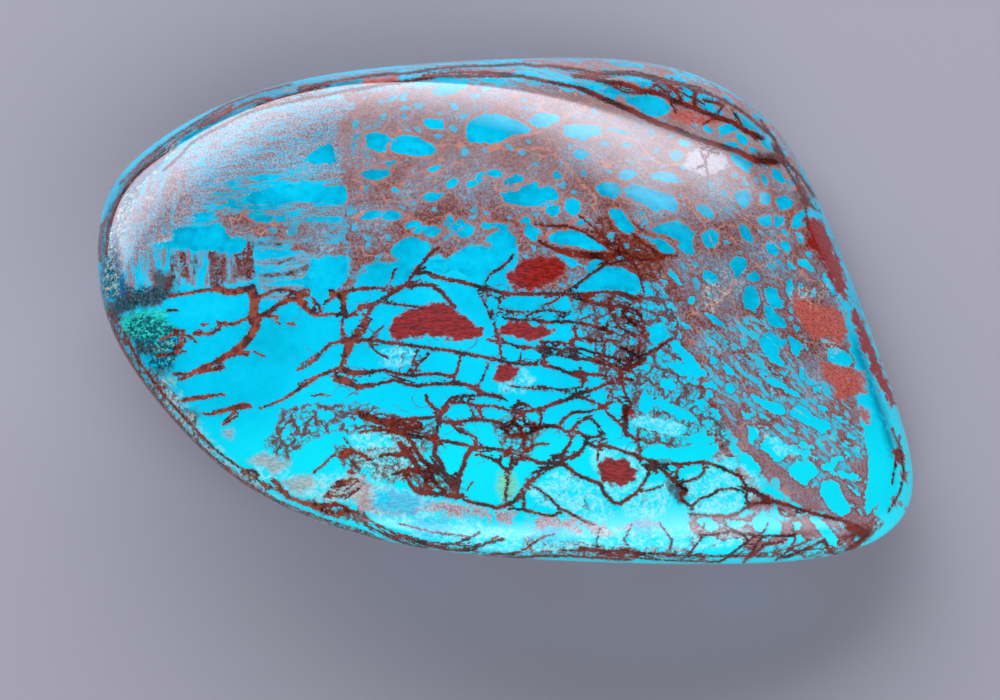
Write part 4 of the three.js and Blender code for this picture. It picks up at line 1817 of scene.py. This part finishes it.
class StageSettings(bpy.types.PropertyGroup):
    """Floor and light of the stage."""

    floor_size: bpy.props.FloatProperty(
        name="Floor size",
        description="Length of the floor's sides",
        default=6.0,
        min=0.5,
        unit="LENGTH",
    )
    floor_colour: colour_setting("Floor colour", "Colour of the pale floor", seen(160, 158, 166))
    far_panel: strength_setting("Far panel", "Strength of the soft panel beyond the stone", 8.0)
    near_panel: strength_setting("Near panel", "Strength of the soft panel on the camera's side", 6.4)


# How far the built stone's box may lie from the solid's, in metres.
BOX_TOLERANCE = 0.0005


def check_box(points):
    """Raises an error where the stone isn't as large as its solid."""
    for built, solid in zip((points.min(axis=0), points.max(axis=0)), CAD_BOX):
        if np.abs(built - np.array(solid)).max() > BOX_TOLERANCE:
            raise RuntimeError("the stone's box differs from its solid's: %s and %s" % (built, solid))


class STONE_OT_build(bpy.types.Operator):
    """Build the polished stone with its markings"""

    bl_idname = "stone.build"
    bl_label = "Build Stone"

    def execute(self, context):
        look = context.scene.stone_settings
        points, triangles, outward = stone_surface(look.detail, look.rounding / MM)
        check_box(points * MM)
        mesh = bpy.data.meshes.new("polished stone")
        mesh.from_pydata((points * MM).tolist(), [], triangles.tolist())
        mesh.polygons.foreach_set("use_smooth", np.ones(len(triangles), dtype=bool))
        mark_stone(mesh, points, outward)
        mesh.materials.append(stone_material(look))
        mesh.update()
        stone = bpy.data.objects.new("polished_stone", mesh)
        context.scene.collection.objects.link(stone)
        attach(stone, "root")
        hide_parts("stone")
        return {"FINISHED"}


def sheet(name, size, material, collection):
    """A flat rectangle round its own middle."""
    across, along = size[0] / 2, size[1] / 2
    mesh = bpy.data.meshes.new(name)
    corners = [(-across, -along, 0), (across, -along, 0), (across, along, 0), (-across, along, 0)]
    mesh.from_pydata(corners, [], [(0, 1, 2, 3)])
    mesh.materials.append(material)
    piece = bpy.data.objects.new(name, mesh)
    collection.objects.link(piece)
    return piece


def light_panel(name, radiance, collection):
    """One of the PANELS, upright and facing the stone."""
    light = PANELS[name]
    size = (light["width"], light["top"] - light["foot"])
    panel = sheet(name, size, panel_material(name, light, size, radiance), collection)
    turn = math.radians(light["azimuth"])
    panel.location = (
        PANEL_DISTANCE * math.sin(turn),
        PANEL_DISTANCE * math.cos(turn),
        (light["foot"] + light["top"]) / 2,
    )
    panel.rotation_euler = (math.radians(90), math.radians(-light["roll"]), -turn)
    return panel


STUDIO_COLOUR = linear(200, 200, 210)
STUDIO_STRENGTH = 0.03


def dim_studio():
    """The little light that comes from all round."""
    world = bpy.data.worlds.new("studio")
    world.use_nodes = True
    background = world.node_tree.nodes["Background"]
    background.inputs["Color"].default_value = STUDIO_COLOUR
    background.inputs["Strength"].default_value = STUDIO_STRENGTH
    return world


def view_camera(collection):
    """The camera, where the chart's lines of sight meet."""
    data = bpy.data.cameras.new("camera")
    data.lens = CAMERA_LENS
    data.sensor_width = CAMERA_SENSOR
    data.clip_start = CAMERA_CLIP
    camera = bpy.data.objects.new("camera", data)
    camera.location = chart_axes()[0] * MM
    camera.rotation_euler = (math.radians(90 - CAMERA_ELEVATION), 0.0, 0.0)
    collection.objects.link(camera)
    return camera


class STONE_OT_stage(bpy.types.Operator):
    """Lay the floor and set up the light and the camera"""

    bl_idname = "stone.stage"
    bl_label = "Build Stage"

    def execute(self, context):
        scene = context.scene
        stage = scene.stage_settings
        floor_size = (stage.floor_size, stage.floor_size)
        sheet("floor", floor_size, floor_material(stage.floor_colour), scene.collection)
        light_panel("far_panel", stage.far_panel, scene.collection)
        light_panel("near_panel", stage.near_panel, scene.collection)
        scene.world = dim_studio()
        scene.camera = view_camera(scene.collection)
        scene.view_settings.view_transform = "Standard"
        return {"FINISHED"}


class STONE_PT_panel(bpy.types.Panel):
    """Settings and buttons of the stone and its stage"""

    bl_idname = "STONE_PT_panel"
    bl_label = "Stone"
    bl_space_type = "VIEW_3D"
    bl_region_type = "UI"
    bl_category = "Stone"

    def draw(self, context):
        groups = (
            (context.scene.stone_settings, StoneSettings, "stone.build"),
            (context.scene.stage_settings, StageSettings, "stone.stage"),
        )
        for settings, group, operator in groups:
            box = self.layout.box()
            for name in group.__annotations__:
                box.prop(settings, name)
            box.operator(operator)


CLASSES = (StoneSettings, StageSettings, STONE_OT_build, STONE_OT_stage, STONE_PT_panel)


def register():
    for cls in CLASSES:
        bpy.utils.register_class(cls)
    bpy.types.Scene.stone_settings = bpy.props.PointerProperty(type=StoneSettings)
    bpy.types.Scene.stage_settings = bpy.props.PointerProperty(type=StageSettings)


def unregister():
    del bpy.types.Scene.stage_settings
    del bpy.types.Scene.stone_settings
    for cls in reversed(CLASSES):
        bpy.utils.unregister_class(cls)


def main():
    """Builds the stone and its stage."""
    register()
    bpy.ops.stone.build()
    bpy.ops.stone.stage()


if __name__ == "__main__":
    main()
